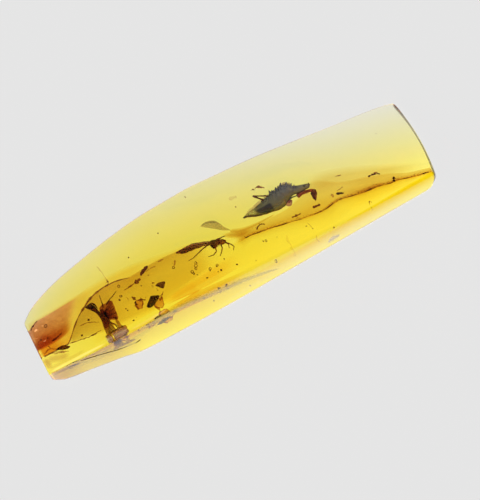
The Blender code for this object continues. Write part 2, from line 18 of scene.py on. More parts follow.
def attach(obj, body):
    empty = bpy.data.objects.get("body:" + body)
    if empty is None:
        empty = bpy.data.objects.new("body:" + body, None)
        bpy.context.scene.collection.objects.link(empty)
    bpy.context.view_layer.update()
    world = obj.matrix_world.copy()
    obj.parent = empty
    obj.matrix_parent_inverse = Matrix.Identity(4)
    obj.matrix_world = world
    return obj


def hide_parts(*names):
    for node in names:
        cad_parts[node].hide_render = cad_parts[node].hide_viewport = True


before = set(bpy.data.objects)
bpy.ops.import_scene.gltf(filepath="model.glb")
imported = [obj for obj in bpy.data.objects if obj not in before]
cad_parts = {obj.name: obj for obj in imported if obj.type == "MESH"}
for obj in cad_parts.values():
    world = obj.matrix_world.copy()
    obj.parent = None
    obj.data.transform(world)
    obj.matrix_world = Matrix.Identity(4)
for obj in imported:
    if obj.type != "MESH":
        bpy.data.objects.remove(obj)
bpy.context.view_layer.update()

MM = 0.001

# The noise that roughens things takes a new offset at each start unless it has a seed
NOISE_SEED = 7
noise.seed_set(NOISE_SEED)

# Least sizes of thin things, and what all pieces share
SHARP_ANGLE = 45.0
LEAST_HALF_WIDTH = 0.004
LEAST_HALF_FLAKE = 0.01
LEG_HAIR_LENGTH = 0.12


# Lines

def smooth_line(points):
    """A function of x: a smooth line through (x, value) points, which never swings past them."""
    xs, ys = np.array(points, float).T
    rises = np.diff(ys) / np.diff(xs)
    inner = [2 * a * b / (a + b) if a * b > 0 else 0.0 for a, b in zip(rises, rises[1:])]
    slopes = np.array([rises[0], *inner, rises[-1]])

    def at(x):
        i = np.clip(np.searchsorted(xs, x) - 1, 0, len(xs) - 2)
        step = xs[i + 1] - xs[i]
        t = np.clip((x - xs[i]) / step, 0.0, 1.0)
        start = (1 + 2 * t) * (1 - t) ** 2 * ys[i] + t * (1 - t) ** 2 * step * slopes[i]
        return start + t * t * (3 - 2 * t) * ys[i + 1] + t * t * (t - 1) * step * slopes[i + 1]

    return at


def smooth_path(points, steps):
    """Points of a smooth curve through points of any dimension, with this many steps between two."""
    known = np.array(points, float)
    ends = np.vstack([2 * known[0] - known[1], known, 2 * known[-1] - known[-2]])
    path = []
    for before, start, end, after in zip(ends, ends[1:], ends[2:], ends[3:]):
        for t in np.arange(steps) / steps:
            path.append(0.5 * (2 * start + (end - before) * t
                               + (2 * before - 5 * start + 4 * end - after) * t**2
                               + (3 * start - before - 3 * end + after) * t**3))
    return np.array([*path, known[-1]])


def soft_step(low, high, value):
    t = np.clip((value - low) / (high - low), 0.0, 1.0)
    return t * t * (3 - 2 * t)


def level_line(y):
    return lambda x: np.full_like(x, y)


# The amber's form, after the same lines as the solids that it stands for

HALF_LENGTH = 25.04
PALE_EDGE = smooth_line([
    (-25.04, 2.95), (-24.2, 3.5), (-23.6, 3.86), (-21.3, 4.72), (-19.0, 5.35), (-15.6, 5.98),
    (-11.0, 6.66), (-6.4, 7.03), (-1.8, 7.06), (2.7, 6.75), (7.3, 6.32), (11.9, 5.69), (16.5, 4.97),
    (21.0, 4.38), (23.3, 4.03), (25.04, 3.6)])
THICK_EDGE = smooth_line([
    (-25.04, -4.45), (-23.6, -5.1), (-20.7, -5.58), (-16.6, -6.25), (-14.4, -6.68), (-9.9, -6.88),
    (-5.0, -7.0), (0.0, -7.05), (12.0, -7.06), (23.3, -7.05), (24.3, -6.75), (25.04, -5.95)])
GREATEST_THICKNESS = smooth_line([
    (-25.04, 5.0), (-18.0, 6.6), (-9.0, 7.6), (0.0, 7.5), (8.0, 6.9), (16.0, 6.1), (25.04, 5.0)])
PALE_EDGE_THICKNESS = smooth_line([
    (-25.04, 1.7), (-17.0, 2.2), (-8.0, 2.2), (-3.5, 1.95), (2.0, 1.55), (6.7, 1.15), (11.3, 0.85),
    (16.0, 0.65), (22.7, 0.45), (25.04, 0.42)])
WEDGE_SLOPE = smooth_line([
    (-25.04, 0.72), (-17.0, 0.72), (-8.0, 0.66), (-3.5, 0.6), (2.0, 0.56), (6.7, 0.52), (11.3, 0.41),
    (16.0, 0.3), (25.04, 0.25)])
WEDGE_HOLLOW = smooth_line([
    (-25.04, 0.0), (2.0, 0.0), (6.7, 0.005), (11.3, 0.022), (16.0, 0.027), (25.04, 0.02)])
THICK_EDGE_THICKNESS = 1.5
SHOULDER_POWER = 1.4
RIDGE_BLEND = 2.0
SHOULDER_LINE = smooth_line([
    (-25.04, -3.0), (-16.0, -3.5), (-9.6, -3.6), (0.0, -4.2), (5.7, -4.6), (10.0, -4.9), (16.0, -5.2),
    (25.04, -5.3)])
FACET_LINE = smooth_line([
    (-25.04, -3.63), (-16.0, -4.1), (-9.6, -4.3), (-0.1, -5.35), (6.7, -6.3), (10.2, -6.6),
    (25.04, -6.6)])
FACET_END_X = 10.2
FACET_LEAST_WIDTH = 0.2
UNCUT_THICK_EDGE = -7.06
FLAT_HALF_LENGTH = 15.0
FLAT_FROM_THICK_EDGE = 0.25
FLAT_FROM_PALE_EDGE = 0.38
CORNER_CUT_FROM_X = 23.3
THICK_SIDE_LIFT = 0.15
PALE_SIDE_LIFT = 0.1
NARROW_END_LIFT = 0.9
WIDE_END_LIFT = 0.5
PALE_NOSE = smooth_line([(-25.04, 0.14), (-8.0, 0.16), (7.0, 0.14), (25.04, 0.12)])
THICK_NOSE = 0.16
END_ROUNDING = 0.22
END_BEVEL = smooth_line([(-7.06, 0.2), (-5.0, 0.16), (-2.5, 0.06), (1.0, 0.06), (3.0, 0.17), (4.1, 0.2)])
END_BEVEL_SLOPE = 1.1
THIN_END_ROUNDING = 0.3
THIN_END_BEVEL = 0.6
WIDE_END_TOP_SHARE = 0.15
NARROW_END_SLANT = 0.048
NARROW_END_FROM = 20.0
WIDE_END_BOW_RADIUS = 21.0
WIDE_END_BOW_CENTRE_Y = -1.0
WIDE_END_FROM = 18.0
AMBER_IOR = 1.54

# How finely the stone is divided: along it, round its end cuts, and across it between its lines
STONE_STATIONS = 230
ROUNDING_STEPS = 7
ACROSS_COUNTS = (9, 46, 10, 18, 8)
FACET_FROM_NOSE = 2.5
SHOULDER_FROM_FACET = 0.3


def soft_least(a, b, blend):
    """The smaller of a and b, with the corner between them rounded."""
    near = np.maximum(blend - abs(a - b), 0.0) / blend
    return np.minimum(a, b) - near * near * blend / 4


def end_inset(x):
    """How far a section near an end is drawn in, for the rounded edge of the end's cut."""
    depth = np.clip(END_ROUNDING - (HALF_LENGTH - abs(x)), 0.0, END_ROUNDING)
    return END_ROUNDING - np.sqrt(END_ROUNDING**2 - depth**2)


def wedge_thickness(x, y):
    """The thickness from the pale edge to the ridge, before the edges are rounded."""
    inward = np.maximum(PALE_EDGE(x) - y, 0.0)
    rise = WEDGE_SLOPE(x) * inward + WEDGE_HOLLOW(x) * inward**2
    return soft_least(PALE_EDGE_THICKNESS(x) + rise, GREATEST_THICKNESS(x), RIDGE_BLEND)


def rounded_thickness(x, y):
    """The thickness with the shoulder that falls to the thick edge."""
    start = SHOULDER_LINE(x)
    edge = np.minimum(UNCUT_THICK_EDGE, THICK_EDGE(x))
    fall = np.clip((start - y) / (start - edge), 0.0, 1.0)
    share = (1 - fall**2) ** SHOULDER_POWER
    return THICK_EDGE_THICKNESS + (wedge_thickness(x, y) - THICK_EDGE_THICKNESS) * share


def facet_thickness(x, y):
    """The thickness under the flat facet, which runs from the facet line down to the thick edge."""
    top, low = FACET_LINE(x), THICK_EDGE(x)
    share = (y - low) / np.maximum(top - low, FACET_LEAST_WIDTH)
    return THICK_EDGE_THICKNESS + (rounded_thickness(x, top) - THICK_EDGE_THICKNESS) * share


def thickness(x, y):
    whole = rounded_thickness(x, y)
    in_facet = (x < FACET_END_X) & (y < FACET_LINE(x))
    return np.where(in_facet, np.minimum(whole, facet_thickness(x, y)), whole)


def underside(x, y):
    """The height of the underside, flat in its middle and curving up to its sides and ends."""
    low, high = THICK_EDGE(np.minimum(x, CORNER_CUT_FROM_X)), PALE_EDGE(x)
    flat_low = low + FLAT_FROM_THICK_EDGE * (high - low)
    flat_high = high - FLAT_FROM_PALE_EDGE * (high - low)
    past_end = np.maximum(abs(x) - FLAT_HALF_LENGTH, 0.0) / (HALF_LENGTH - FLAT_HALF_LENGTH)
    past_low = np.maximum(flat_low - y, 0.0) / (flat_low - low)
    past_high = np.maximum(y - flat_high, 0.0) / (high - flat_high)
    end_lift = np.where(x < 0, NARROW_END_LIFT, WIDE_END_LIFT)
    return end_lift * past_end**2 + THICK_SIDE_LIFT * past_low**2 + PALE_SIDE_LIFT * past_high**2


def nose_share(inward, radius):
    """How much of the thickness stands at this distance in from a rounded edge."""
    return np.sqrt(1 - (1 - np.minimum(inward / radius, 1.0)) ** 2)


def end_shape(x, y):
    """x moved for the slanted cut of the narrow end and the bowed cut of the wide end."""
    near = np.maximum(-NARROW_END_FROM - x, 0.0) / (HALF_LENGTH - NARROW_END_FROM)
    slanted = x + near**2 * NARROW_END_SLANT * (y - THICK_EDGE(-HALF_LENGTH))
    near = np.maximum(x - WIDE_END_FROM, 0.0) / (HALF_LENGTH - WIDE_END_FROM)
    bowed = x - near**2 * (y - WIDE_END_BOW_CENTRE_Y) ** 2 / (2 * WIDE_END_BOW_RADIUS)
    return np.where(x < 0, slanted, bowed)


def stone_surface(x, y, on_top):
    """Points of the amber's top or underside over (x, y), as (x, y, z)."""
    inset = end_inset(x)
    low, high = THICK_EDGE(x) + inset, PALE_EDGE(x) - inset
    y = np.clip(y, low, high)
    share = np.minimum(nose_share(high - y, PALE_NOSE(x)), nose_share(y - low, THICK_NOSE))
    full = thickness(x, y)
    cut_in = np.where(x > 0, np.maximum(END_BEVEL(y) - (HALF_LENGTH - x), 0.0) * END_BEVEL_SLOPE, 0.0)
    cut_in = np.minimum(cut_in, THIN_END_BEVEL * full)
    rounding = np.where(x > 0, WIDE_END_TOP_SHARE, 1.0) * inset
    full = full - np.minimum(rounding, THIN_END_ROUNDING * full) - cut_in
    reach = full if on_top else 0.0
    return end_shape(x, y), y, underside(x, y) + cut_in + share * reach


def seen(points, step=0.05):
    """Where points have to be so that they show at their (x, y) from straight above, each at its own z: the
    sloped top bends the light on its way out."""
    points = np.array(points, float)
    x, y, z = points.T
    x = np.clip(x, step + END_ROUNDING - HALF_LENGTH, HALF_LENGTH - END_ROUNDING - step)

    def height(x, y):
        return stone_surface(x, y, True)[2]

    rise_x = (height(x + step, y) - height(x - step, y)) / (2 * step)
    rise_y = (height(x, y + step) - height(x, y - step)) / (2 * step)
    normal = np.stack([-rise_x, -rise_y, np.ones_like(x)]) / np.sqrt(1 + rise_x**2 + rise_y**2)
    bend = 1 / AMBER_IOR
    ray = normal * (bend * normal[2] - np.sqrt(1 - bend**2 * (1 - normal[2]**2)))
    ray[2] -= bend
    depth = height(x, y) - z
    return np.stack([points[:, 0] - ray[0] / ray[2] * depth, y - ray[1] / ray[2] * depth, z], 1)


def under_the_top(path, depth):
    """Points of an (x, y) path at this depth below the amber's top."""
    x, y = np.array(path, float).T
    return np.stack([x, y, stone_surface(x, y, True)[2] - depth], 1)


# Shapes

class Shape:
    """The points and faces of one piece, in millimetres. Each point has a strength, how much body or tint
    there is, and a shade, how far its colour goes to the darker one."""

    def __init__(self):
        self.points, self.faces, self.strengths, self.shades = [], [], [], []

    def add(self, points, faces, strength=1.0, shade=0.0):
        start = len(self.points)
        self.points += [tuple(point) for point in points]
        self.faces += [tuple(start + i for i in face) for face in faces]
        self.strengths += list(np.broadcast_to(strength, len(points)))
        self.shades += list(np.broadcast_to(shade, len(points)))

    def add_rings(self, rings, strength=1.0, shade=0.0):
        """A closed body through rings of points, each end closed to its middle."""
        rings = np.array(rings)
        count, sides = rings.shape[:2]
        faces = [(i * sides + j, i * sides + (j + 1) % sides, (i + 1) * sides + (j + 1) % sides,
                  (i + 1) * sides + j) for i in range(count - 1) for j in range(sides)]
        last = (count - 1) * sides
        faces += [(count * sides, (j + 1) % sides, j) for j in range(sides)]
        faces += [(count * sides + 1, last + j, last + (j + 1) % sides) for j in range(sides)]
        points = [*rings.reshape(-1, 3), rings[0].mean(axis=0), rings[-1].mean(axis=0)]
        levels = [np.broadcast_to(level, (count, sides)) for level in (strength, shade)]
        self.add(points, faces, *[[*level.ravel(), level[0].mean(), level[-1].mean()] for level in levels])

    def add_limb(self, path, widths, depths=None, sides=10, steps=5, strength=1.0, shade=0.0):
        """A smooth tapered body along (x, y, z) points: a leg, hair, splinter or blade. Its half depths, up
        and down, are its half widths or its own."""
        depths = widths if depths is None else depths
        joined = [(*point, width, depth) for point, width, depth in zip(path, widths, depths)]
        route = smooth_path(joined, steps)
        ahead = np.gradient(route[:, :3], axis=0)
        side = np.cross((0.0, 0.0, 1.0), ahead)
        side[np.linalg.norm(side, axis=1) < 1e-9] = (1.0, 0.0, 0.0)
        side /= np.linalg.norm(side, axis=1)[:, None]
        lift = np.cross(ahead, side)
        lift /= np.linalg.norm(lift, axis=1)[:, None] + 1e-12
        width, depth = np.maximum(route[:, 3:], LEAST_HALF_WIDTH).T
        turns = np.arange(sides) * 2 * pi / sides
        rings = (route[:, None, :3] + side[:, None] * (width[:, None] * np.cos(turns))[..., None]
                 + lift[:, None] * (depth[:, None] * np.sin(turns))[..., None])
        self.add_rings(rings, strength, shade)

    def add_ball(self, centre, radii, turn=0.0, sides=20, lumps=0.0, seed=0.0, strength=1.0, shade=0.0):
        """An oval ball turned about Z by degrees, with lumps of this share of its size."""
        turning = np.array(Matrix.Rotation(radians(turn), 3, "Z"))
        rings = []
        for i in range(1, sides // 2):
            along = pi * i / (sides // 2)
            ways = [(-cos(along), sin(along) * cos(a), sin(along) * sin(a))
                    for a in np.arange(sides) * 2 * pi / sides]
            swell = [1 + lumps * noise.noise(Vector(way) * 1.7 + Vector((seed, 0, 0))) for way in ways]
            rings.append(np.array(ways) * np.array(swell)[:, None] * radii @ turning.T + centre)
        self.add_rings(rings, strength, shade)

    def add_hoop(self, centre, radius, thick, steps=14, strength=1.0, shade=0.0):
        """A thin ring lying flat: the dark rim of a bubble."""
        x, y, z = centre
        path = [(x + radius * cos(a), y + radius * sin(a), z) for a in np.linspace(0.0, 2 * pi, steps)]
        self.add_limb(path, [thick] * steps, sides=6, steps=2, strength=strength, shade=shade)

    def add_flake(self, outline, place, thick, bend=0.0, rough=0.0, seed=0.0, steps=6, strength=1.0,
                  rim_strength=None, shade=0.0):
        """A thin flake: a rounded outline of (x, y) points about its place, bent along Z and roughened."""
        rim = smooth_path([*outline, outline[0]], steps)[:-1]
        middle = np.mean(rim, axis=0)
        shares = (0.15, 0.4, 0.65, 0.85, 0.95, 1.0)
        rings = []
        for side, order in ((1, shares), (-1, shares[::-1])):
            for share in order:
                flat = middle + (rim - middle) * share
                waves = np.array([rough * noise.noise(Vector((*point, seed)) * 3.1) for point in flat])
                height = side * max(thick / 2 * sqrt(max(1 - share**4, 0.0)), LEAST_HALF_FLAKE)
                up = height + waves + bend * (flat[:, 0]**2 - flat[:, 1]**2)
                rings.append(np.stack([flat[:, 0], flat[:, 1], up], 1) + place)
        at_rim = strength if rim_strength is None else rim_strength
        levels = np.interp([*shares, *shares[::-1]], (0.8, 1.0), (strength, at_rim))
        self.add_rings(rings[::-1], levels[:, None], shade)

    def add_sheet(self, rows, strength=1.0, shade=0.0):
        """An open sheet through rows of points."""
        rows = np.array(rows)
        count, columns = rows.shape[:2]
        faces = [(i * columns + j, i * columns + j + 1, (i + 1) * columns + j + 1, (i + 1) * columns + j)
                 for i in range(count - 1) for j in range(columns - 1)]
        self.add(rows.reshape(-1, 3), faces, np.broadcast_to(strength, (count, columns)).ravel(),
                 np.broadcast_to(shade, (count, columns)).ravel())

    def add_ribbon(self, path, half_widths, steps=8, strength=1.0, shade=0.0, fading=0.12):
        """A flat streak along (x, y, z) points, which fades out to its sides and over a share of its length
        at each end."""
        route = smooth_path([(*point, wide) for point, wide in zip(path, half_widths)], steps)
        ahead = np.gradient(route[:, :3], axis=0)
        side = np.cross((0.0, 0.0, 1.0), ahead)
        side /= np.linalg.norm(side, axis=1)[:, None] + 1e-12
        across = np.array((-1.0, -0.6, -0.25, 0.25, 0.6, 1.0))
        fade = np.array((0.0, 0.5, 1.0, 1.0, 0.5, 0.0))
        rows = route[:, None, :3] + side[:, None] * (route[:, 3, None] * across)[..., None]
        along = np.linspace(0.0, 1.0, len(route))
        ends = soft_step(0.0, fading, along) * soft_step(0.0, fading, 1 - along)
        self.add_sheet(rows, strength * ends[:, None] * fade, shade)

    def move_to(self, place):
        """Moves the points from the thing's own middle to its place in the amber."""
        self.points = [tuple(np.add(point, place)) for point in self.points]
        return self

    def settle(self):
        """Takes the points as where they show from above, and moves them to where they then are."""
        self.points = [tuple(point) for point in seen(self.points)]
        return self

    def lie_under_the_top(self, depth):
        """Moves the points up or down to this depth below the amber's top."""
        self.points = [tuple(point) for point in under_the_top([point[:2] for point in self.points], depth)]
        return self

    def roughen(self, scale, amount, seed=0.0):
        """Moves each point a little, in lumps of about 1 / scale millimetres."""
        shift = Vector((seed, seed, seed))
        self.points = [tuple(Vector(p) + amount * noise.noise_vector(Vector(p) * scale + shift))
                       for p in self.points]
        return self

    def to_piece(self, name, material, slot, *replaced):
        """Makes the piece's object, which rides on the amber and stands for the solids that it replaces."""
        mesh = bpy.data.meshes.new(name)
        mesh.from_pydata([tuple(c * MM for c in point) for point in self.points], [], self.faces)
        for label, levels in (("strength", self.strengths), ("shade", self.shades)):
            values = np.array(levels, np.float32)
            mesh.attributes.new(label, "FLOAT", "POINT").data.foreach_set("value", values)
        skin = bmesh.new()
        skin.from_mesh(mesh)
        bmesh.ops.recalc_face_normals(skin, faces=skin.faces)
        skin.to_mesh(mesh)
        skin.free()
        mesh.materials.append(material)
        mesh.shade_smooth()
        mesh.set_sharp_from_angle(angle=radians(SHARP_ANGLE))
        piece = bpy.data.objects.new(name, mesh)
        bpy.context.scene.collection.objects.link(piece)
        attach(piece, "root")
        if replaced:
            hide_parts(*replaced)


def add_leg(shape, joints, widths, seed, hairs=5, strength=1.0, shade=0.0):
    """A jointed leg: each part swells between its joints, and short hairs stand on it."""
    chance = Random(seed)
    for start, end, wide in zip(np.array(joints), np.array(joints)[1:], widths):
        places = [start + (end - start) * share for share in (0.0, 0.25, 0.7, 1.0)]
        shape.add_limb(places, [wide * 0.75, wide, wide * 0.85, wide * 0.65], strength=strength, shade=shade)
        shape.add_ball(end, (wide * 0.8,) * 3, sides=10, strength=strength, shade=shade)
        for _ in range(hairs):
            root = start + (end - start) * chance.uniform(0.1, 1.0)
            way = np.array([chance.uniform(-1, 1), chance.uniform(-1, 1), chance.uniform(-0.4, 0.6)])
            way = way / np.linalg.norm(way) * LEG_HAIR_LENGTH * chance.uniform(0.7, 1.3)
            shape.add_limb([root, root + way * 0.6, root + way], [0.018, 0.012, 0.004], sides=4, steps=2,
                           strength=strength, shade=shade)


def add_grains(shape, seed, count, centre, spread, sizes, strength=1.0, shade=0.0):
    """Seeded grains of dirt strewn about a place."""
    chance = Random(seed)
    for _ in range(count):
        place = [chance.gauss(c, s) for c, s in zip(centre, spread)]
        size = chance.uniform(*sizes)
        shape.add_ball(place, (size, size * chance.uniform(0.5, 1.0), size * 0.6), chance.uniform(0, 180),
                       sides=8, lumps=0.5, seed=chance.uniform(0, 50), strength=strength, shade=shade)


def streaks_below_top(depth, streaks):
    """A shape of flat streaks at one depth below the top: each has its path as seen from above, its half
    widths, its strength and the share of it that fades out at each end."""
    shape = Shape()
    for path, half_widths, strength, fading in streaks:
        shape.add_ribbon([(x, y, 0.0) for x, y in path], half_widths, strength=strength, fading=fading)
    return shape.lie_under_the_top(depth)


# Materials

def principled(name, **sockets):
    """A new material with plain values on its shader's own sockets, as (material, node tree, shader)."""
    material = bpy.data.materials.new(name)
    material.use_nodes = True
    shader = material.node_tree.nodes["Principled BSDF"]
    for socket, value in sockets.items():
        shader.inputs[socket.replace("_", " ")].default_value = value
    return material, material.node_tree, shader


def new_group(name, inputs, outputs):
    """An empty node group with named sockets, as (group, its input node, its output node)."""
    group = bpy.data.node_groups.new(name, "ShaderNodeTree")
    for label, kind, value in inputs:
        socket = group.interface.new_socket(name=label, in_out="INPUT", socket_type=kind)
        socket.default_value = value
    for label, kind in outputs:
        group.interface.new_socket(name=label, in_out="OUTPUT", socket_type=kind)
    return group, group.nodes.new("NodeGroupInput"), group.nodes.new("NodeGroupOutput")


def set_or_link(tree, socket, value):
    """Puts a plain value on a socket, or links another node's output to it."""
    if isinstance(value, bpy.types.NodeSocket):
        tree.links.new(value, socket)
    else:
        socket.default_value = value


def place_group(tree, group, **values):
    """A group's node in a material, with that material's own values or links on its sockets."""
    node = tree.nodes.new("ShaderNodeGroup")
    node.node_tree = group
    for label, value in values.items():
        set_or_link(tree, node.inputs[label.replace("_", " ")], value)
    return node.outputs[0]


def add_noise(group, place, scale_socket, detail):
    texture = group.nodes.new("ShaderNodeTexNoise")
    texture.inputs["Detail"].default_value = detail
    group.links.new(place, texture.inputs["Vector"])
    group.links.new(scale_socket, texture.inputs["Scale"])
    return texture.outputs["Fac"]


def stretched_place(group, start):
    """The object's own coordinates, stretched by the group's amounts."""
    node = group.nodes.new("ShaderNodeVectorMath")
    node.operation = "MULTIPLY"
    group.links.new(group.nodes.new("ShaderNodeTexCoord").outputs["Object"], node.inputs[0])
    group.links.new(start.outputs["Stretch"], node.inputs[1])
    return node.outputs[0]


def add_math(tree, operation, *values, clamped=True):
    """A math node on sockets or plain numbers, kept between 0 and 1 unless it may go past them."""
    node = tree.nodes.new("ShaderNodeMath")
    node.operation = operation
    node.use_clamp = clamped
    for socket, value in zip(node.inputs, values):
        set_or_link(tree, socket, value)
    return node.outputs[0]


def add_range(tree, value, start, end, new_start=0.0, new_end=1.0, smooth=False):
    """A value taken from one range to another, and kept in it."""
    node = tree.nodes.new("ShaderNodeMapRange")
    node.interpolation_type = "SMOOTHSTEP" if smooth else "LINEAR"
    for socket, level in zip(node.inputs, (value, start, end, new_start, new_end)):
        set_or_link(tree, socket, level)
    return node.outputs["Result"]


# The sockets of a mix node, for its amount, its first and its second value, and its output
NUMBER_SOCKETS, NUMBER_OUTPUT = (0, 2, 3), 0
COLOUR_SOCKETS, COLOUR_OUTPUT = (0, 6, 7), 2


def mix_numbers(tree, *values):
    node = tree.nodes.new("ShaderNodeMix")
    for index, value in zip(NUMBER_SOCKETS, values):
        set_or_link(tree, node.inputs[index], value)
    return node.outputs[NUMBER_OUTPUT]


def mix_colours(tree, *values):
    node = tree.nodes.new("ShaderNodeMix")
    node.data_type = "RGBA"
    for index, value in zip(COLOUR_SOCKETS, values):
        set_or_link(tree, node.inputs[index], value)
    return node.outputs[COLOUR_OUTPUT]


def colour_power(tree, colour, power):
    """A colour deepened or thinned, as a thicker or thinner layer of it tints the light."""
    node = tree.nodes.new("ShaderNodeGamma")
    tree.links.new(colour, node.inputs["Color"])
    tree.links.new(power, node.inputs["Gamma"])
    return node.outputs["Color"]


def make_mottle_group():
    """A light and a dark colour in soft blotches with finer grain over them, darker where the shade is."""
    group, start, end = new_group(
        "mottle",
        [("Light", "NodeSocketColor", (1, 1, 1, 1)), ("Dark", "NodeSocketColor", (0, 0, 0, 1)),
         ("Shade", "NodeSocketFloat", 0.0), ("Contrast", "NodeSocketFloat", 0.5),
         ("Blotches per Metre", "NodeSocketFloat", 1000.0), ("Grain per Metre", "NodeSocketFloat", 9000.0),
         ("Stretch", "NodeSocketVector", (1, 1, 1))],
        [("Colour", "NodeSocketColor"), ("Mask", "NodeSocketFloat")])
    place = stretched_place(group, start)
    blotches = add_noise(group, place, start.outputs["Blotches per Metre"], 3.0)
    grain = add_noise(group, place, start.outputs["Grain per Metre"], 4.0)
    both = add_math(group, "MULTIPLY_ADD", grain, 0.5, add_math(group, "MULTIPLY", blotches, 0.5))
    mask = add_math(group, "MULTIPLY_ADD", add_range(group, both, 0.38, 0.62), start.outputs["Contrast"],
                    start.outputs["Shade"])
    colour = mix_colours(group, mask, start.outputs["Light"], start.outputs["Dark"])
    group.links.new(colour, end.inputs["Colour"])
    group.links.new(mask, end.inputs["Mask"])
    return group


def make_relief_group():
    """The fine bumps of a surface, as a normal."""
    group, start, end = new_group(
        "fine_relief",
        [("Bumps per Metre", "NodeSocketFloat", 8000.0), ("Strength", "NodeSocketFloat", 0.3),
         ("Depth", "NodeSocketFloat", 0.00003)],
        [("Normal", "NodeSocketVector")])
    place = group.nodes.new("ShaderNodeTexCoord").outputs["Object"]
    bump = group.nodes.new("ShaderNodeBump")
    group.links.new(add_noise(group, place, start.outputs["Bumps per Metre"], 3.0), bump.inputs["Height"])
    group.links.new(start.outputs["Strength"], bump.inputs["Strength"])
    group.links.new(start.outputs["Depth"], bump.inputs["Distance"])
    group.links.new(bump.outputs["Normal"], end.inputs["Normal"])
    return group


def make_wisp_group():
    """How much of a film there is at a point: its strength, thinned in drawn-out wisps."""
    group, start, end = new_group(
        "wisps",
        [("Strength", "NodeSocketFloat", 1.0), ("Wisps per Metre", "NodeSocketFloat", 500.0),
         ("Unevenness", "NodeSocketFloat", 0.4), ("Stretch", "NodeSocketVector", (1, 1, 1))],
        [("Amount", "NodeSocketFloat")])
    texture = add_noise(group, stretched_place(group, start), start.outputs["Wisps per Metre"], 4.0)
    thinned = add_math(group, "MULTIPLY", add_range(group, texture, 0.35, 0.65), start.outputs["Unevenness"])
    kept = add_math(group, "SUBTRACT", 1.0, thinned)
    group.links.new(add_math(group, "MULTIPLY", kept, start.outputs["Strength"], clamped=False),
                    end.inputs["Amount"])
    return group


MOTTLE = make_mottle_group()
RELIEF = make_relief_group()
WISPS = make_wisp_group()


def attribute(tree, name):
    node = tree.nodes.new("ShaderNodeAttribute")
    node.attribute_name = name
    return node.outputs["Fac"]


BODY_GRAIN = 9000.0
BODY_BUMPS = 9000.0
BODY_BUMP_STRENGTH = 0.4
BODY_BUMP_DEPTH = 0.00004


def make_body(name, light, dark, contrast=0.5, blotches=1200.0, stretch=(1, 1, 1), roughness=0.4, gloss=0.5,
              cover=1.0):
    """The finish of a solid thing: mottled, finely bumpy, and see-through where its strength is low."""
    material, tree, shader = principled(name, Roughness=roughness, Specular_IOR_Level=gloss)
    mottle = place_group(tree, MOTTLE, Light=(*light, 1), Dark=(*dark, 1), Contrast=contrast,
                         Blotches_per_Metre=blotches, Grain_per_Metre=BODY_GRAIN, Stretch=stretch,
                         Shade=attribute(tree, "shade"))
    tree.links.new(mottle, shader.inputs["Base Color"])
    bumpy = place_group(tree, RELIEF, Bumps_per_Metre=BODY_BUMPS, Strength=BODY_BUMP_STRENGTH,
                        Depth=BODY_BUMP_DEPTH)
    tree.links.new(bumpy, shader.inputs["Normal"])
    tree.links.new(add_math(tree, "MULTIPLY", attribute(tree, "strength"), cover), shader.inputs["Alpha"])
    return material


def make_film(name, colour, wisps=500.0, unevenness=0.35, stretch=(1, 1, 1), deep=None):
    """A boundary or a see-through scrap in the amber, which tints the light that goes through it, with a
    deeper tint where its shade is."""
    material, tree, shader = principled(name, Roughness=0.0, IOR=1.0, Transmission_Weight=1.0)
    amount = place_group(tree, WISPS, Wisps_per_Metre=wisps, Unevenness=unevenness, Stretch=stretch,
                         Strength=attribute(tree, "strength"))
    tint = mix_colours(tree, attribute(tree, "shade"), (*colour, 1), (*(deep or colour), 1))
    tree.links.new(colour_power(tree, tint, amount), shader.inputs["Base Color"])
    return material


def make_painted_glint(name, colour, strength):
    """A painted highlight for a polished edge: clear, with a faint glow of its own broken up in wisps."""
    material, tree, shader = principled(name, Base_Color=(1, 1, 1, 1), Roughness=0.0, IOR=1.0,
                                        Transmission_Weight=1.0, Emission_Strength=strength)
    amount = place_group(tree, WISPS, Wisps_per_Metre=700.0, Unevenness=0.8, Stretch=(0.3, 1, 1),
                         Strength=attribute(tree, "strength"))
    tree.links.new(mix_colours(tree, amount, (0, 0, 0, 1), (*colour, 1)), shader.inputs["Emission Color"])
    return material


# Blue light fades by half in about 1.7 mm of this amber, green in about 20, and red goes through
AMBER_ABSORPTION = (0.992, 0.92, 0.0, 1.0)
AMBER_DENSITY = 420.0
POLISH_BUMPS, POLISH_STRENGTH, POLISH_DEPTH = 260.0, 0.12, 0.00004


def make_amber():
    material, tree, shader = principled(
        "clear_amber", Base_Color=(1, 1, 1, 1), Roughness=0.0, IOR=AMBER_IOR, Transmission_Weight=1.0)
    polish = place_group(tree, RELIEF, Bumps_per_Metre=POLISH_BUMPS, Strength=POLISH_STRENGTH,
                         Depth=POLISH_DEPTH)
    tree.links.new(polish, shader.inputs["Normal"])
    volume = tree.nodes.new("ShaderNodeVolumeAbsorption")
    volume.inputs["Color"].default_value = AMBER_ABSORPTION
    volume.inputs["Density"].default_value = AMBER_DENSITY
    tree.links.new(volume.outputs["Volume"], tree.nodes["Material Output"].inputs["Volume"])
    return material


# The amber

